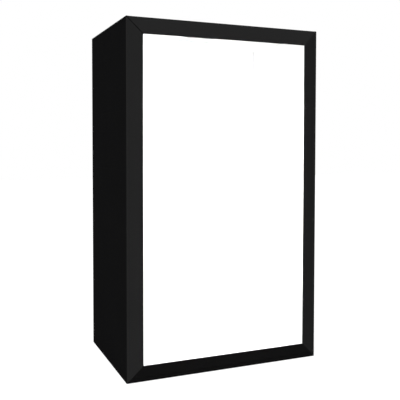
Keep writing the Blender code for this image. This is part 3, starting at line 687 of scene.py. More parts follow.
carve(cover["top"][0], rounded_block(port_middle, PORT_SIZE, PORT_CORNER))
settle()
bpy.ops.mesh.primitive_cylinder_add(
    vertices=48, radius=CABLE_HOLE_RADIUS, depth=CUTTER_DEPTH, location=(grommet_low + grommet_high) / 2,
    rotation=(math.pi / 2, 0, 0),
)
carve(cover["back"][0], bpy.context.object)
for panel, _ in cover.values():
    finish_piece(panel, "oxford")

# %% [markdown]
# ## Tape over the seams
# Where two panels meet, a tape is folded over the seam and stitched down twice on each side. Each
# tape is a plane along one panel. Its edge is extruded over the other panel and the corner is
# bevelled round. At the back the tapes meet in mitres, which are cut with bisecting planes. Along the
# ground the tape is flat, so that nothing lies under the tent.

# %% A folded tape
TAPE_THICKNESS = 0.0008
TAPE_LIFT = 0.0001
TAPE_SPARE = 0.004
TAPE_FOLD_RADIUS = 0.002
MITRE_GAP = 0.0002
TAPE_FROM_FRONT = 0.0003

front_y, back_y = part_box("cover_left")[0].y + TAPE_FROM_FRONT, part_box("cover_back")[1].y
side_x, top_z = cad_high.x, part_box("cover_top")[1].z


def seam_tape(name, start, end, first, second):
    """Runs from start to end. first and second point into its two panels, and first x second
    points along it. Its ends at the back are mitred. Along the ground it isn't folded."""
    mitres = [point[1] == back_y for point in (start, end)]
    folded = first != UP
    start, end, first, second = (Vector(v) for v in (start, end, first, second))
    run = (end - start).normalized()
    ends = [start - run * TAPE_SPARE * mitres[0], end + run * TAPE_SPARE * mitres[1]]
    width = TAPE_WIDTH + TAPE_LIFT
    middle = (ends[0] + ends[1]) / 2 + first * (TAPE_WIDTH - TAPE_LIFT) / 2 - second * TAPE_LIFT
    piece = add_sheet(name, middle, (width, (ends[1] - ends[0]).length), first, run)

    def at_fold(co):
        return (co - start).dot(first) < TAPE_WIDTH / 2

    if folded:
        edit(piece, at_fold)
        extrude(second * width)
        edit(piece, lambda co: at_fold(co) and (co - start).dot(second) < TAPE_WIDTH / 2)
        bpy.ops.mesh.bevel(offset=TAPE_FOLD_RADIUS, segments=4)
        settle()
    thicken(piece, TAPE_THICKNESS, offset=1)
    for place, outwards, mitred in ((start, -run, mitres[0]), (end, run, mitres[1])):
        if mitred:
            for inward in (first, second) if folded else (first,):
                normal = (outwards + inward).normalized()
                cut(piece, place - normal * MITRE_GAP, normal)
    lay_uv(piece, lambda co: (co.dot(run), (co - start).dot(first) - (co - start).dot(second)))
    finish_piece(piece, "oxford", tape)
    return piece


# %% The seams of the cover
tapes = {}
for name, start, end, first, second in (
    ("top_left", (-side_x, back_y, top_z), (-side_x, front_y, top_z), DOWN, RIGHTWARDS),
    ("top_right", (side_x, back_y, top_z), (side_x, front_y, top_z), LEFTWARDS, DOWN),
    ("top_back", (side_x, back_y, top_z), (-side_x, back_y, top_z), DOWN, FORWARDS),
    ("back_left", (-side_x, back_y, 0), (-side_x, back_y, top_z), FORWARDS, RIGHTWARDS),
    ("back_right", (side_x, back_y, 0), (side_x, back_y, top_z), LEFTWARDS, FORWARDS),
    ("bottom_left", (-side_x, front_y, 0), (-side_x, back_y, 0), UP, RIGHTWARDS),
    ("bottom_right", (side_x, back_y, 0), (side_x, front_y, 0), UP, LEFTWARDS),
    ("bottom_back", (-side_x, back_y, 0), (side_x, back_y, 0), UP, FORWARDS),
):
    tapes[name] = seam_tape(f"tape_{name}", start, end, first, second)

# %% [markdown]
# ## The front border
# Four stiffened strips frame the opening. They rise towards it by 12 mm and meet in mitres, which
# the photo shows as changes of tone; these come from the lamp and from painted shade in each strip's
# black. Each strip is one sheet of cloth: its outer edge turns back round the tent's edge, and its
# inner edge is spun round a small radius into a hem. The mitred ends roll in slightly, so that the
# seam reads as a groove. The photo shows a clear dark line only at the upper left mitre, so that
# groove is wider and is filled with a deep black tape, which paints the groove's shadow.

# %% Finishes for the four strips, with painted shade
BORDER_WIDTH = 0.092
BORDER_RISE = 0.012
HEM_WIDTH = 0.018
RIM_ROW, HEM_ROW, MITRE_ROW = 0.005, 0.003, 0.006
# One fabric painted four ways: each strip's black carries painted shade, lightest at the top and left,
# darkest at the bottom.
STRIP_PAINTED_SHADE_BLACK = {"top": 0.0185, "left": 0.0181, "right": 0.0139, "bottom": 0.0068}
BLUER, THREAD_PALER = 1.01, 1.7

# Of each side of the front: the way in from its edge, half its length, and its edge's distance
# from the middle.
front_sides = {
    "top": (Vector(DOWN), side_x, top_z / 2), "bottom": (Vector(UP), side_x, top_z / 2),
    "left": (Vector(RIGHTWARDS), top_z / 2, side_x), "right": (Vector(LEFTWARDS), top_z / 2, side_x),
}


def row_by_mitre(half, away):
    """A row beside each mitre of a strip whose length is 2 x half."""
    return lambda u, v: (v * math.sqrt(2), (half - abs(u) - v) * math.sqrt(0.5) - away)


rows = [row_at(BORDER_WIDTH - HEM_WIDTH + HEM_ROW), row_at(BORDER_WIDTH - RIM_ROW), row_at(RIM_ROW)]
strip_painted_shade_finish = {}
# Each strip gets its own black, made lighter or darker as painted shade.
for side, black in STRIP_PAINTED_SHADE_BLACK.items():
    mitre_row = row_by_mitre(front_sides[side][1], MITRE_ROW)
    strip_painted_shade_finish[side] = cloth_finish(
        f"black_painted_shade_border_{side}", (black, black, black * BLUER), thread=0.0009, relief=0.00012, uneven=0.07,
        dust=0.008, rows=[*rows, mitre_row], thread_colour=[black * THREAD_PALER] * 3,
    )
print("strip finishes:", sorted(strip_painted_shade_finish))

# %% A border strip
STRIP_SHEET = 0.0016
NOSE_RADIUS = 0.0024
EDGE_RADIUS = 0.0020
EDGE_DEPTH = 0.0010
OPEN_MITRE_GAP = 0.0019
ROLL_WIDTH = 0.0040
ROLL_DEPTH = 0.0014
ROLL_SCORE_SHARES = (1.0, 0.6, 0.3)
border_y = cad_low.y + BORDER_RISE
FORWARD = Vector(FORWARDS)


def rise(inwards):
    """How far the border stands out at this distance from its outer edge."""
    return BORDER_RISE * inwards / BORDER_WIDTH


def border_strip(side):
    """The strip as a thin sheet, with its nose, its hem and its turned outer edge."""
    inward, half, reach = front_sides[side]
    along = FORWARD.cross(inward)
    outer = Vector((0, border_y, top_z / 2)) - inward * reach
    width = BORDER_WIDTH - EDGE_RADIUS - NOSE_RADIUS
    middle = outer + inward * (EDGE_RADIUS + width / 2)
    piece = add_sheet(f"border_{side}_strip", middle, (width, 2 * half), inward, along, step=0.015)
    inward_way = np.array(inward)

    def slope(points):
        points[:, 1] -= rise((points - np.array(outer)) @ inward_way)
        return points

    sculpt(piece, slope)
    inner = EDGE_RADIUS + width
    edit(piece, lambda co: (co - outer).dot(inward) > inner - NEAR)
    nose = outer + inward * inner + FORWARD * (rise(inner) - NOSE_RADIUS)
    bpy.ops.mesh.spin(steps=6, angle=-math.pi, center=nose, axis=along)
    extrude(-inward * HEM_WIDTH - FORWARD * rise(HEM_WIDTH))
    edit(piece, lambda co: (co - outer).dot(inward) < EDGE_RADIUS + NEAR)
    edge = outer + inward * EDGE_RADIUS + FORWARD * (rise(EDGE_RADIUS) - EDGE_RADIUS)
    bpy.ops.mesh.spin(steps=4, angle=math.pi / 2, center=edge, axis=along)
    extrude(-FORWARD * EDGE_DEPTH)
    settle()
    return piece, outer, inward, along, half


def mitre_strip(piece, outer, inward, along, half):
    """Scores lines beside each mitre, thickens the sheet, cuts the mitres and rolls their edges in."""
    planes = [(outer + end * half, (end + inward).normalized()) for end in (along, -along)]
    for corner, normal in planes:
        for share in ROLL_SCORE_SHARES:
            cut(piece, corner - normal * (ROLL_WIDTH * share), normal, keep_all=True)
    thicken(piece, STRIP_SHEET)
    for corner, normal in planes:
        gap = OPEN_MITRE_GAP if corner.x < 0 and corner.z > top_z / 2 else MITRE_GAP
        cut(piece, corner - normal * gap, normal)

    def roll(points):
        for corner, normal in planes:
            away = -(points - np.array(corner)) @ np.array(normal)
            points[:, 1] += ROLL_DEPTH * np.clip(1 - away / ROLL_WIDTH, 0, 1) ** 2
        return points

    sculpt(piece, roll)
    lay_uv(piece, lambda co: (co.dot(along) - outer.dot(along), (co - outer).dot(inward)))
    return piece


# %% The four strips
strips = {}
for side in front_sides:
    strips[side] = mitre_strip(*border_strip(side))
    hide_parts(f"front_border_{side}")
    finish_piece(strips[side], "border", strip_painted_shade_finish[side], angle=50)

# %% Tape behind the mitres
MITRE_TAPE_WIDTH = 0.012
MITRE_TAPE_SHEET = 0.0006
MITRE_TAPE_END = 0.008
MITRE_TAPE_DEPTH = 0.0019
MITRE_TAPE_SLOPE = 0.083

for side_name, side in (("left", -1), ("right", 1)):
    for end_name, end, edge_z in (("top", 1, top_z), ("bottom", -1, 0)):
        inward = Vector((-side, 0, -end))
        along = (inward + FORWARD * MITRE_TAPE_SLOPE).normalized()
        across = FORWARD.cross(along).normalized()
        start = Vector((side * side_x, border_y + MITRE_TAPE_DEPTH, edge_z)) + inward * MITRE_TAPE_END
        length = (BORDER_WIDTH - MITRE_TAPE_END - NOSE_RADIUS) * inward.length
        name = f"mitre_{end_name}_{side_name}"
        size = (length, MITRE_TAPE_WIDTH)
        tapes[name] = add_sheet(f"tape_{name}", start + along * length / 2, size, along, across, step=0.01)
        thicken(tapes[name], MITRE_TAPE_SHEET)
        finish_piece(tapes[name], "oxford", tape)

# %% Tape in the open groove, a painted shadow
# The near-black tape deep in the open groove is a painted shadow: it makes the dark line of the seam.
GROOVE_SHADOW_BLACK = (0.0010, 0.0010, 0.0011)
GROOVE_DEPTH = 0.0010
GROOVE_SHEET = 0.0005
GROOVE_CLEARANCE = 0.0001
GROOVE_NOSE_RADIUS = 0.0022
GROOVE_TAIL = 0.008

groove_shadow_finish = cloth_finish("black_painted_groove_shadow", GROOVE_SHADOW_BLACK, thread=0.0009, relief=0.00010, uneven=0.05)
groove_end = BORDER_WIDTH + OPEN_MITRE_GAP * math.sqrt(0.5) - GROOVE_NOSE_RADIUS
groove_length = groove_end - EDGE_RADIUS


def into_upper_left_mitre(points):
    """Takes x as the distance from both outer edges, y as the depth and z as the way across."""
    away, depth, aside = points.T
    aside = aside * math.sqrt(0.5)
    placed = -side_x + away + aside, border_y + depth - rise(away), top_z - away + aside
    return np.stack(placed, axis=1)


groove = add_sheet(
    "tape_groove_top_left", (EDGE_RADIUS + groove_length / 2, GROOVE_DEPTH, 0),
    (groove_length, 2 * (OPEN_MITRE_GAP - GROOVE_CLEARANCE)), RIGHTWARDS, UP, step=0.01,
)
edit(groove, lambda co: co.x > groove_end - NEAR)
groove_nose = (groove_end, GROOVE_DEPTH + GROOVE_NOSE_RADIUS, 0)
bpy.ops.mesh.spin(steps=8, angle=-math.pi, center=groove_nose, axis=UP)
extrude((-GROOVE_TAIL, 0, 0))
edit(groove, lambda co: co.x < EDGE_RADIUS + NEAR)
extrude((0, EDGE_DEPTH, 0))
settle()
thicken(groove, GROOVE_SHEET)
lay_uv(groove, lambda co: (co.x * math.sqrt(2), co.z))
sculpt(groove, into_upper_left_mitre)
finish_piece(groove, "oxford", groove_shadow_finish)
tapes["groove_top_left"] = groove

# %% Tape behind the seams between the strips and the cover
SEAM_TAPE_DEPTH = 0.0017
SEAM_TAPE_WIDTH = 0.0055
SEAM_TAPE_SHEET = 0.0005
SEAM_TAPE_GAP = 0.0003
SEAM_TAPE_SHORT = 0.008
seam_tape_y = border_y + STRIP_SHEET + SEAM_TAPE_GAP + SEAM_TAPE_WIDTH / 2

for side, (inward, half, reach) in front_sides.items():
    centre = Vector((0, seam_tape_y, top_z / 2)) - inward * (reach - SEAM_TAPE_DEPTH)
    size = (SEAM_TAPE_WIDTH, 2 * half - SEAM_TAPE_SHORT)
    piece = add_sheet(f"tape_front_{side}", centre, size, FORWARD, FORWARD.cross(inward), step=0.02)
    thicken(piece, SEAM_TAPE_SHEET)
    finish_piece(piece, "oxford", tape)
    tapes[f"front_{side}"] = piece

# %% [markdown]
# ## The backdrop
# The backdrop is one sheet of white vinyl. It hangs from the top rear rail, turns through a large
# curve and runs out over the floor, so that no horizon shows behind the goods. The upright part is
# added as a grid. Its lower edge is spun through a quarter turn and extruded forwards, and its top
# edge is spun round the rail.

# %% Backdrop
VINYL_SHEET = 0.0012
CURVE_RADIUS = 0.29925
RAIL_HUG_RADIUS = 0.0113
RAIL_WRAP_DEG = 240
BACKDROP_WIDTH = 1.1466
BACKDROP_LIFT = 0.0015


def middle_of(node):
    return [(low + high) / 2 for low, high in zip(*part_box(node))]


vinyl = cloth_finish("white_vinyl", WHITE, thread=0.0010, relief=0.00002, roughness=0.55, gloss=0.4,
                     uneven=0.015)
low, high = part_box("backdrop")
_, rail_y, rail_z = middle_of("rail_top_back")
face_y, floor_z = rail_y - RAIL_HUG_RADIUS, low.z + BACKDROP_LIFT
curve_y, curve_z = face_y - CURVE_RADIUS, floor_z + CURVE_RADIUS
backdrop = add_sheet(
    "backdrop_sheet", (0, face_y, (curve_z + rail_z) / 2), (BACKDROP_WIDTH, rail_z - curve_z),
    RIGHTWARDS, UP, step=0.04,
)
edit(backdrop, lambda co: co.z < curve_z + NEAR)
bpy.ops.mesh.spin(steps=20, angle=math.pi / 2, center=(0, curve_y, curve_z), axis=RIGHTWARDS)
for length in np.diff(np.linspace(curve_y, low.y, 12)):
    extrude((0, length, 0))
edit(backdrop, lambda co: co.z > rail_z - NEAR)
wrap = math.radians(RAIL_WRAP_DEG)
bpy.ops.mesh.spin(steps=16, angle=wrap, center=(0, rail_y, rail_z), axis=RIGHTWARDS)
settle()
top = max(point.co.z for point in backdrop.data.vertices)
print("backdrop:", len(backdrop.data.polygons), "faces, to z", round(top, 4))

# %% Its narrower hook, waves and thickness
HOOK_HALF_WIDTH = 0.5542
HOOK_BELOW_RAIL = 0.0092
WAVE = 0.0006
LONG_WAVE, SHORT_WAVE, WAVE_SHIFT = (7.1, 1.1), (17.3, -2.3), 0.4
CURVE_FADE, HOOK_FADE = 0.3, 0.2
hook_z = rail_z - HOOK_BELOW_RAIL


def path_length(co):
    """How far along the sheet a point lies, from its front edge on the floor."""
    if co.y < curve_y:
        return co.y - low.y
    start = curve_y - low.y
    if co.z < curve_z:
        return start + CURVE_RADIUS * math.atan2(co.y - curve_y, curve_z - co.z)
    return start + CURVE_RADIUS * math.pi / 2 + co.z - curve_z


def hang(points):
    """Faint waves in the hanging part, none where it is held. A long and a short one cross it."""
    x, y, z = points.T
    held = smooth((z - curve_z) / CURVE_FADE) * smooth((hook_z - z) / HOOK_FADE)
    long = np.sin(LONG_WAVE[0] * x + LONG_WAVE[1] * z + WAVE_SHIFT)
    short = np.sin(SHORT_WAVE[0] * x + SHORT_WAVE[1] * z)
    points[:, 1] -= WAVE * (long + 0.5 * short) * held
    return points


cut(backdrop, (HOOK_HALF_WIDTH, 0, 0), RIGHTWARDS, keep_all=True)
cut(backdrop, (-HOOK_HALF_WIDTH, 0, 0), LEFTWARDS, keep_all=True)
cut(backdrop, (0, 0, hook_z), UP, keep_all=True)
edit(backdrop, lambda co: co.z > hook_z - NEAR and abs(co.x) > HOOK_HALF_WIDTH - NEAR, "FACE")
bpy.ops.mesh.delete(type="FACE")
settle()
sculpt(backdrop, hang)
lay_uv(backdrop, lambda co: (co.x, path_length(co)))
thicken(backdrop, VINYL_SHEET)
finish_piece(backdrop, "vinyl", vinyl)
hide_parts("backdrop")
curve_length, hook_length = CURVE_RADIUS * math.pi / 2, wrap * RAIL_HUG_RADIUS
backdrop_flat = (BACKDROP_WIDTH, curve_y - low.y + curve_length + rail_z - curve_z + hook_length)
print("backdrop cut:", [round(n, 3) for n in backdrop_flat])

# %% [markdown]
# ## White cloths and their straps
# A side cloth hangs along each wall and a diffusion cloth lies flat under the top lights. Both are
# hemmed, so they are thicker along their edges, which a vertex group tells the Solidify modifier.
# They are held by straps round the top side rails. A strap is a short plane whose end is spun
# round the rail and then extruded back to the cloth.

# %% A hemmed cloth
CLOTH_SHEET = 0.0014
CLOTH_HEM = 0.012
HEM_STEP = 0.001
HEM_SHARE = 0.6


def hem(piece, centre, size, across, up):
    """Marks how thick the cloth is at each point: full along its edges, less in the middle."""
    centre, across, up = Vector(centre), Vector(across), Vector(up)
    for way, length in ((across, size[0]), (-across, size[0]), (up, size[1]), (-up, size[1])):
        for back in (CLOTH_HEM, CLOTH_HEM + HEM_STEP):
            cut(piece, centre + way * (length / 2 - back), way, keep_all=True)
    marks = piece.vertex_groups.new(name="hem")
    for point in piece.data.vertices:
        place = point.co - centre
        inside = min(size[0] / 2 - abs(place.dot(across)), size[1] / 2 - abs(place.dot(up)))
        marks.add([point.index], 1.0 if inside < CLOTH_HEM + NEAR else 0.0, "REPLACE")


def hemmed_thickness(piece):
    apply_modifier(piece, "SOLIDIFY", thickness=CLOTH_SHEET, offset=-1, vertex_group="hem",
                   thickness_vertex_group=HEM_SHARE)


# %% Side cloths
CLOTH_BELOW_RAIL = 0.0112
CLOTH_DROP, CLOTH_TO_REAR = 0.006, 0.0009
BELLY_LEAST, BELLY_MORE = 0.0003, 0.0010
BELLIES, BELLY_SHIFT = 3, 0.6
BELLY_CLIMB, BELLY_LEAN = 2.2, 0.5
FOOT_RIM, CLOTH_FADE = 0.03, 0.25
NOTCH_DEPTH, NOTCH_HEIGHT = 0.0175, 0.0283
NOTCH_BLOCK, NOTCH_CORNER = 0.1, 0.002
cloth_top = rail_z - CLOTH_BELOW_RAIL


def ripple_wall(piece, centre, size, side):
    """The cloth bellies a little towards the wall, less so near its foot and its straps."""
    def move(points):
        x, y, z = points.T
        from_foot = z - centre.z + size[1] / 2
        held = smooth((from_foot - FOOT_RIM) / CLOTH_FADE) * smooth((cloth_top - z) / CLOTH_FADE)
        belly = np.sin(np.pi * (y - centre.y) / size[0] * BELLIES + BELLY_SHIFT)
        belly *= np.sin(BELLY_CLIMB * z + BELLY_LEAN * side)
        points[:, 0] += side * held * (BELLY_LEAST + BELLY_MORE * (0.5 + 0.5 * belly))
        return points

    sculpt(piece, move)


def side_cloth(name, side):
    """Hangs on the inner face of its CAD node, and goes a little lower and farther to the rear. A
    notch clears the moulding at its rear foot."""
    low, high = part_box(f"side_cloth_{name}")
    foot, rear = low.z - CLOTH_DROP, high.y + CLOTH_TO_REAR
    centre = Vector((low.x if side > 0 else high.x, (low.y + rear) / 2, (foot + cloth_top) / 2))
    size = (rear - low.y, cloth_top - foot)
    across = FORWARDS if side > 0 else REARWARDS
    piece = add_sheet(f"side_cloth_{name}_sheet", centre, size, across, UP, step=0.03)
    hem(piece, centre, size, across, UP)
    ripple_wall(piece, centre, size, side)
    hemmed_thickness(piece)
    notch = (centre.x, high.y - NOTCH_DEPTH + NOTCH_BLOCK / 2, NOTCH_HEIGHT - NOTCH_BLOCK / 2)
    carve(piece, rounded_block(notch, (CUTTER_DEPTH, NOTCH_BLOCK), NOTCH_CORNER, NOTCH_BLOCK, steps=1))
    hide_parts(f"side_cloth_{name}")
    finish_piece(piece, "cloth", white_cloth)
    return piece, size, None, [f"rail_top_{name}"]


for name, side in (("left", -1), ("right", 1)):
    side_cloth(name, side)

# %% Diffusion cloth
WALL_GAP = 0.0006
DIFFUSER_SLACK = (-0.0035, 0.0006)
diffusion_cloth = white_finish("white_diffusion_cloth", roughness=1.0, crease=0.0002, light_through=0.4)
low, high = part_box("top_diffuser")
cloth_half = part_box("side_cloth_right")[0].x - WALL_GAP
centre = Vector((0, (low.y + high.y) / 2, low.z))
size = (2 * cloth_half, high.y - low.y)
diffuser = add_sheet("top_diffuser_sheet", centre, size, RIGHTWARDS, FORWARDS, step=0.03)
hem(diffuser, centre, size, RIGHTWARDS, FORWARDS)
pull_taut(diffuser, centre, size, RIGHTWARDS, FORWARDS, *DIFFUSER_SLACK)
hemmed_thickness(diffuser)
carve(diffuser, rounded_block((0, port_middle.y, low.z), PORT_SIZE, PORT_CORNER))
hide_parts("top_diffuser")
finish_piece(diffuser, "cloth", diffusion_cloth)
size[0] * size[1] - port_area

# %% Straps round the side rails
STRAP_WIDTH = 0.030
STRAP_SHEET = 0.0009
STRAP_RADIUS = 0.0108
STRAP_WRAP_DEG = 270
STRAP_GAP = 0.001
STRAP_OVERLAP = 0.002
STRAP_TAIL = 0.030
WALL_FOLDS = (0.0078, 0.0025), (0.0008, STRAP_TAIL)
ROOF_FOLDS = (0.0010, 0.0085), (STRAP_TAIL, 0.0002)
STRAP_FROM_POST, STRAP_INSIDE_PORT = 0.062, 0.0255
post_y, rail_x = middle_of("post_upper_front_left")[1], middle_of("rail_top_right")[0]
port_front, port_rear = port_middle.y - PORT_SIZE[1] / 2, port_middle.y + PORT_SIZE[1] / 2
strap_places = (post_y + STRAP_FROM_POST, port_front + STRAP_INSIDE_PORT,
                port_rear - STRAP_INSIDE_PORT, rail_y - STRAP_FROM_POST)


def wrap_rail(piece, at_end, side, y, way, folds):
    """Spins a strap's end round the rail, then extrudes it inwards and down by each fold."""
    edit(piece, at_end)
    wrap = way * side * math.radians(STRAP_WRAP_DEG)
    bpy.ops.mesh.spin(steps=22, angle=wrap, center=(side * rail_x, y, rail_z), axis=REARWARDS)
    for inwards, down in folds:
        extrude((-side * inwards, 0, -down))
    settle()
    return piece


def wall_strap(side, y):
    """Up from the side cloth, over the rail and back down behind the cloth."""
    leg = rail_z - cloth_top + STRAP_OVERLAP
    across = FORWARDS if side > 0 else REARWARDS
    middle = (side * (rail_x - STRAP_RADIUS), y, rail_z - leg / 2)
    piece = add_sheet("strap", middle, (STRAP_WIDTH, leg), across, UP)
    return wrap_rail(piece, lambda co: co.z > rail_z - NEAR, side, y, -1, WALL_FOLDS)


def roof_strap(side, y):
    """Out from the diffusion cloth, under and over the rail and back onto the cloth."""
    leg = rail_x - cloth_half + STRAP_OVERLAP
    middle = (side * (rail_x - leg / 2), y, rail_z - STRAP_RADIUS)
    piece = add_sheet("strap", middle, (leg, STRAP_WIDTH), RIGHTWARDS, FORWARDS)
    return wrap_rail(piece, lambda co: abs(co.x) > rail_x - NEAR, side, y, 1, ROOF_FOLDS)


def finish_straps(name, pieces):
    """Joins the straps of one cloth into one piece."""
    pick(pieces[0])
    for piece in pieces:
        piece.select_set(True)
    bpy.ops.object.join()
    joined = pieces[0]
    joined.name = joined.data.name = name
    thicken(joined, STRAP_SHEET)
    lay_uv(joined, lambda co: (co.y, co.z - co.x))
    finish_piece(joined, "cloth", white_cloth)
    return joined


aside = STRAP_GAP + STRAP_WIDTH / 2
for name, side in (("left", -1), ("right", 1)):
    wall_straps = [wall_strap(side, y + aside) for y in strap_places]
    finish_straps(f"side_cloth_{name}_straps", wall_straps)
roof_straps = [roof_strap(side, y - aside) for side in (-1, 1) for y in strap_places]
finish_straps("top_diffuser_straps", roof_straps)

# %% [markdown]
# ## The flap over the port
# The flap is the cover's own cloth, lined with white, with a bound edge and a pull tab in front. It
# is sewn on along its rear edge, which is the hinge of the CAD body "flap", so all of its pieces
# ride on that body. The port's hem and the strip of hook tape in front of it stay on the cover.

# %% Round-cornered rings of tape
RING_ROUND_SHARE = 0.3


def round_corner_place(middle, size, corner):
    """For a UV map round a rounded rectangle: how far along and how far outside a point lies."""
    def unroll(co):
        x, y = abs(co.x - middle.x), abs(co.y - middle.y)
        dx, dy = x - (size[0] / 2 - corner), y - (size[1] / 2 - corner)
        if dx > 0 and dy > 0:
            angle = math.atan2(dy, dx)
            return size[1] / 2 - corner + corner * angle, math.hypot(dx, dy) - corner
        if dx > dy:
            return y, dx - corner
        return size[1] / 2 - corner + corner * math.pi / 2 + size[0] / 2 - corner - x, dy - corner
    return unroll


def ring(name, middle, size, corner, inside, thickness):
    """A flat ring whose outer edge is a rounded rectangle, inside metres wide, standing on middle.z."""
    piece = add_sheet(name, middle, size, RIGHTWARDS, REARWARDS)
    edit(piece, kind="VERT")
    bpy.ops.mesh.bevel(offset=corner, segments=8, affect="VERTICES")
    bpy.ops.mesh.select_mode(type="FACE")
    bpy.ops.mesh.select_all(action="SELECT")
    bpy.ops.mesh.inset(thickness=inside)
    bpy.ops.mesh.delete(type="FACE")
    settle()
    thicken(piece, thickness, offset=1)
    apply_modifier(piece, "BEVEL", width=thickness * RING_ROUND_SHARE, segments=2, limit_method="ANGLE")
    lay_uv(piece, round_corner_place(middle, size, corner))
    return piece


# %% Hem and hook tape of the port
PORT_HEM = 0.008
PORT_ROW = 0.0020
HEM_SUNK = 0.0011
HOOK_TAPE_SIZE = (0.16, 0.011)
HOOK_TAPE_SHEET = 0.0009
HOOK_TAPE_AWAY = 0.0150
HOOK_BLACK = (0.012, 0.012, 0.012)

port_tape = tape_finish("black_port_tape", row_at(-PORT_ROW), row_at(-PORT_HEM + PORT_ROW))
hem_size = (PORT_SIZE[0] + 2 * PORT_HEM, PORT_SIZE[1] + 2 * PORT_HEM)
port_on_cover = Vector((0, port_middle.y, top_z - HEM_SUNK))
port_hem = ring("port_hem", port_on_cover, hem_size, PORT_CORNER + PORT_HEM, PORT_HEM, TAPE_THICKNESS)
finish_piece(port_hem, "oxford", port_tape)
hook_place = port_on_cover + Vector((0, -PORT_SIZE[1] / 2 - HOOK_TAPE_AWAY, HOOK_TAPE_SHEET))
hook_tape = add_sheet("port_hook_tape", hook_place, HOOK_TAPE_SIZE, RIGHTWARDS, REARWARDS, step=0.004)
thicken(hook_tape, HOOK_TAPE_SHEET)
hook_pile = cloth_finish("black_hook_tape", HOOK_BLACK, thread=0.0016, relief=0.00045, uneven=0.05)
finish_piece(hook_tape, "oxford", hook_pile)

# %% Flap
FLAP_SHEET = 0.0012
FLAP_CORNER = PORT_CORNER + FLAP_OVERLAP
FLAP_TRIM = 0.002
FLAP_FROM_SEAM = 0.001
PULL_SIZE = (0.040, 0.022)

flap_z = middle_of("top_flap")[2]
flap_front = flap_low.y + PULL_SIZE[1]
flap_middle = Vector((0, (hinge_y + flap_front) / 2, flap_z))
flap_size = (flap_high.x - flap_low.x, hinge_y - flap_front)
flap_face = flap_middle + Vector((0, 0, FLAP_SHEET / 2))
flap = add_sheet("flap_cloth", flap_face, flap_size, RIGHTWARDS, REARWARDS, step=0.012)
flap.data.materials.append(oxford)
flap.data.materials.append(white_finish("white_flap_lining", roughness=0.85, gloss=0.2))
thicken(flap, FLAP_SHEET, lined=True)
longer = (flap_size[0] - 2 * FLAP_TRIM, flap_size[1] + 2 * FLAP_CORNER)
outline = rounded_block(flap_middle + Vector((0, FLAP_CORNER, 0)), longer, FLAP_CORNER, steps=8)
carve(flap, outline, "INTERSECT")
cut(flap, (0, hinge_y - FLAP_FROM_SEAM, flap_z), REARWARDS)
finish_piece(flap, "oxford", body="flap")
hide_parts("top_flap")

# %% Flap's binding and pull tab
BINDING_WIDTH = 0.010
BINDING_THICKNESS = 0.0020
BINDING_ROW = 0.002
PULL_RADIUS = 0.0009
PULL_SHEET = 0.0006
PULL_SEWN_IN = 0.002
PULL_CLEARANCE = 0.0001

binding_finish = tape_finish("black_binding", row_at(-BINDING_WIDTH + BINDING_ROW))
binding_size = (flap_size[0], flap_size[1] + 2 * FLAP_CORNER)
binding_middle = flap_middle + Vector((0, FLAP_CORNER, -BINDING_THICKNESS / 2))
binding = ring("flap_binding", binding_middle, binding_size, FLAP_CORNER, BINDING_WIDTH, BINDING_THICKNESS)
cut(binding, (0, hinge_y, flap_z), REARWARDS)
finish_piece(binding, "oxford", binding_finish, body="flap")
pull_front = flap_low.y + PULL_RADIUS + PULL_CLEARANCE
pull_length = flap_front + PULL_SEWN_IN - pull_front
pull_middle = (0, pull_front + pull_length / 2, flap_z + PULL_RADIUS)
tab = add_sheet("flap_pull", pull_middle, (PULL_SIZE[0], pull_length), RIGHTWARDS, REARWARDS, step=0.005)
edit(tab, lambda co: co.y < pull_front + NEAR)
bpy.ops.mesh.spin(steps=6, angle=-math.pi, center=(0, pull_front, flap_z), axis=RIGHTWARDS)
extrude((0, pull_length, 0))
settle()
thicken(tab, PULL_SHEET)
lay_uv(tab, lambda co: (co.x, co.y))
finish_piece(tab, "oxford", tape, body="flap")

# %% [markdown]
# ## Finishes for the hard parts
# The tubes, mouldings and light bars keep their CAD shapes and get new materials in their slots.
# Zinc-plated steel shows faint crystals, drawn aluminium has fine lines along it, and moulded
# plastic has a fine grain. Patterns on these parts read Object coordinates, because their objects
# stay at the origin.

# %% Groups for metal and plastic
def fine_grain(vector, size):
    fine = noise(scaled(vector, 1.0 / size), 1.0, detail=3.0)
    return {"Value": fine, "Height": fine * size}


def zinc_crystals(vector, size):
    place = scaled(vector, 1.0 / size)
    cells = add_node(vector.tree, "TexVoronoi", {"Vector": place, "Scale": 1.0}, output="Color")
    return {"Tone": around(split(cells)[0], 0.975, 0.25)}


def drawn_lines(vector, stretch):
    stretched = add_node(vector.tree, "VectorMath", {0: vector, 1: stretch}, operation="MULTIPLY")
    return {"Value": noise(stretched, 1.0, detail=3.0)}


new_group(fine_grain, Vector=None, Size=0.001)
new_group(zinc_crystals, Vector=None, Size=0.006)
new_group(drawn_lines, Vector=None, Stretch=None)


# %% Hard finishes
SCUFF_GREY = (0.3, 0.3, 0.3)
ALUMINIUM = (0.74, 0.75, 0.76)
LINES_ACROSS, LINES_UP = (4.0, 1800.0, 1800.0), (1800.0, 1800.0, 4.0)


def object_place(tree):
    return add_node(tree, "TexCoord", {}, output="Object")


def moulded_plastic(name, colour, roughness):
    made, tree, shader = new_finish(name, roughness, gloss=0.35)
    place = object_place(tree)
    grain = use_group(tree, "fine_grain", Vector=place, Size=0.0007)
    scuffs = use_group(tree, "uneven_colour", Vector=place, Amount=0.15)
    feed(shader, {
        "Base Color": mixed(tree, scuffs["Dust"] * 0.05, tinted(colour, scuffs["Tone"]), SCUFF_GREY),
        "Roughness": around(grain["Value"], roughness, 0.16), "Normal": bumped(grain["Height"] * 0.12),
    })
    return made


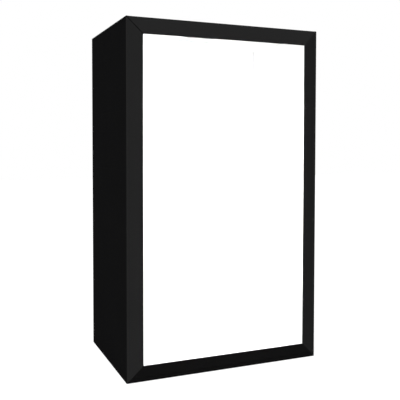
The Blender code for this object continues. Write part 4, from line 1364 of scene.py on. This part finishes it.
def plated_steel(name, colour):
    made, tree, shader = new_finish(name, roughness=0.36, gloss=0.5, metal=1.0)
    place = object_place(tree)
    zinc = use_group(tree, "zinc_crystals", Vector=place, Size=0.007)
    grain = use_group(tree, "fine_grain", Vector=place, Size=0.0015)
    feed(shader, {
        "Base Color": tinted(colour, zinc["Tone"]),
        "Roughness": grain["Value"] * 0.10 + (zinc["Tone"] * -0.25 + 0.57),
        "Normal": bumped(grain["Height"] * 0.03),
    })
    return made


def drawn_aluminium(name, stretch):
    made, tree, shader = new_finish(name, roughness=0.38, gloss=0.5, metal=1.0)
    lines = use_group(tree, "drawn_lines", Vector=object_place(tree), Stretch=stretch)["Value"]
    feed(shader, {
        "Base Color": tinted(ALUMINIUM, around(lines, 1.0, 0.16)), "Roughness": around(lines, 0.38, 0.22),
        "Normal": bumped(lines * 0.00003),
    })
    return made


plastic = moulded_plastic("black_moulding", colour=(0.022, 0.022, 0.023), roughness=0.48)
steel = plated_steel("zinc_plated_steel", colour=(0.66, 0.67, 0.69))
aluminium = {
    "across": drawn_aluminium("anodised_aluminium_across", LINES_ACROSS),
    "upright": drawn_aluminium("anodised_aluminium_upright", LINES_UP),
}
print("hard finishes:", [m.name for m in (plastic, steel, *aluminium.values())])

# %% [markdown]
# ## The lights
# The lights are on in the photo: the inside of the tent is pure white. So the frosted lenses glow,
# and they light the cloths for real. The diodes behind a lens show as faint brighter bands, one
# each 20 mm. The board under it has a white mask with a yellow diode at each band.

# %% Diodes along a bar
DIODE_PITCH = 0.020
DIODE_HALF_SHARE = 0.13
DIODE_YELLOW = (0.85, 0.68, 0.12)
LENS_GLOW = 90.0


def diode_row(along, pitch):
    away = abs((along / pitch).math("FRACT") - 0.5)
    return {"Band": 1.0 - away * 2.0, "Diode": away.math("LESS_THAN", DIODE_HALF_SHARE)}


new_group(diode_row, Along=0.0, Pitch=DIODE_PITCH)


def lens_finish(name, axis):
    made, tree, shader = new_finish(name, roughness=0.42, gloss=0.5)
    place = object_place(tree)
    band = use_group(tree, "diode_row", Along=split(place)[axis])["Band"]
    grain = use_group(tree, "fine_grain", Vector=place, Size=0.0006)
    feed(shader, {
        "Emission Color": grey(around(band, 0.93, 0.10)), "Emission Strength": LENS_GLOW,
        "Base Color": grey(around(grain["Value"], 0.925, 0.05)), "Normal": bumped(grain["Height"] * 0.10),
    })
    return made


def board_finish(name, axis):
    made, tree, shader = new_finish(name, roughness=0.40, gloss=0.5)
    place = object_place(tree)
    diode = use_group(tree, "diode_row", Along=split(place)[axis])["Diode"]
    grain = use_group(tree, "fine_grain", Vector=place, Size=0.002)
    mask = grey(around(grain["Value"], 0.85, 0.06))
    feed(shader, {"Base Color": mixed(tree, diode, mask, DIODE_YELLOW)})
    return made


lenses = {"across": lens_finish("lit_lens_across", 0), "upright": lens_finish("lit_lens_upright", 2)}
boards = {"across": board_finish("board_across", 0), "upright": board_finish("board_upright", 2)}

# %% Into the CAD nodes' slots
dressed = 0
for name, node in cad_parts.items():
    way = "upright" if name.startswith(("light_left", "light_right")) else "across"
    finishes = {
        "post_": steel, "rail_": steel, "corner_": plastic, "_cap_": plastic, "cable_grommet": plastic,
        "_housing": aluminium[way], "_lens": lenses[way], "_board": boards[way],
    }
    for part, finish in finishes.items():
        if part in name:
            node.data.materials[0] = finish
            dressed += 1
print("dressed", dressed, "CAD nodes")

# %% [markdown]
# ## The sheets' cut sizes
# The size that each sheet of cloth was cut to, and the pieces sewn onto it, are worked out here, but
# nothing uses them.

# %% Sheets
MITRE_LOSS = 0.050
strip_cut = BORDER_WIDTH + HEM_WIDTH + NOSE_RADIUS * math.pi + EDGE_DEPTH

for name, held, area, sewn_on in (
    ("left", "stretched", None, [tapes[f"{n}_left"] for n in (
        "top", "bottom", "front", "mitre_top", "mitre_bottom", "groove_top")]),
    ("right", "stretched", None, [tapes[f"{n}_right"] for n in (
        "top", "bottom", "back", "front", "mitre_top", "mitre_bottom")]),
    ("back", "stretched", None, [tapes["top_back"], tapes["bottom_back"], tapes["back_left"]]),
    ("floor", "laid", None, [tapes["front_bottom"]]),
    ("top", "stretched", cover["top"][1][0] * cover["top"][1][1] - port_area,
     [port_hem, hook_tape, tapes["front_top"]]),
):
    piece, size = cover[name]
    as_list(sewn_on)
for side, piece in strips.items():
    length = 2 * front_sides[side][1]
    strip_cut * (length - 2 * MITRE_LOSS)

# %% [markdown]
# ## Sizes, and the end
# The tent's box is printed, like the CAD model's box at the start, to show whether the cloth has made it
# bigger.

# %% Sizes at the end
low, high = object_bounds()
print("whole tent:", low[:], "to", high[:])
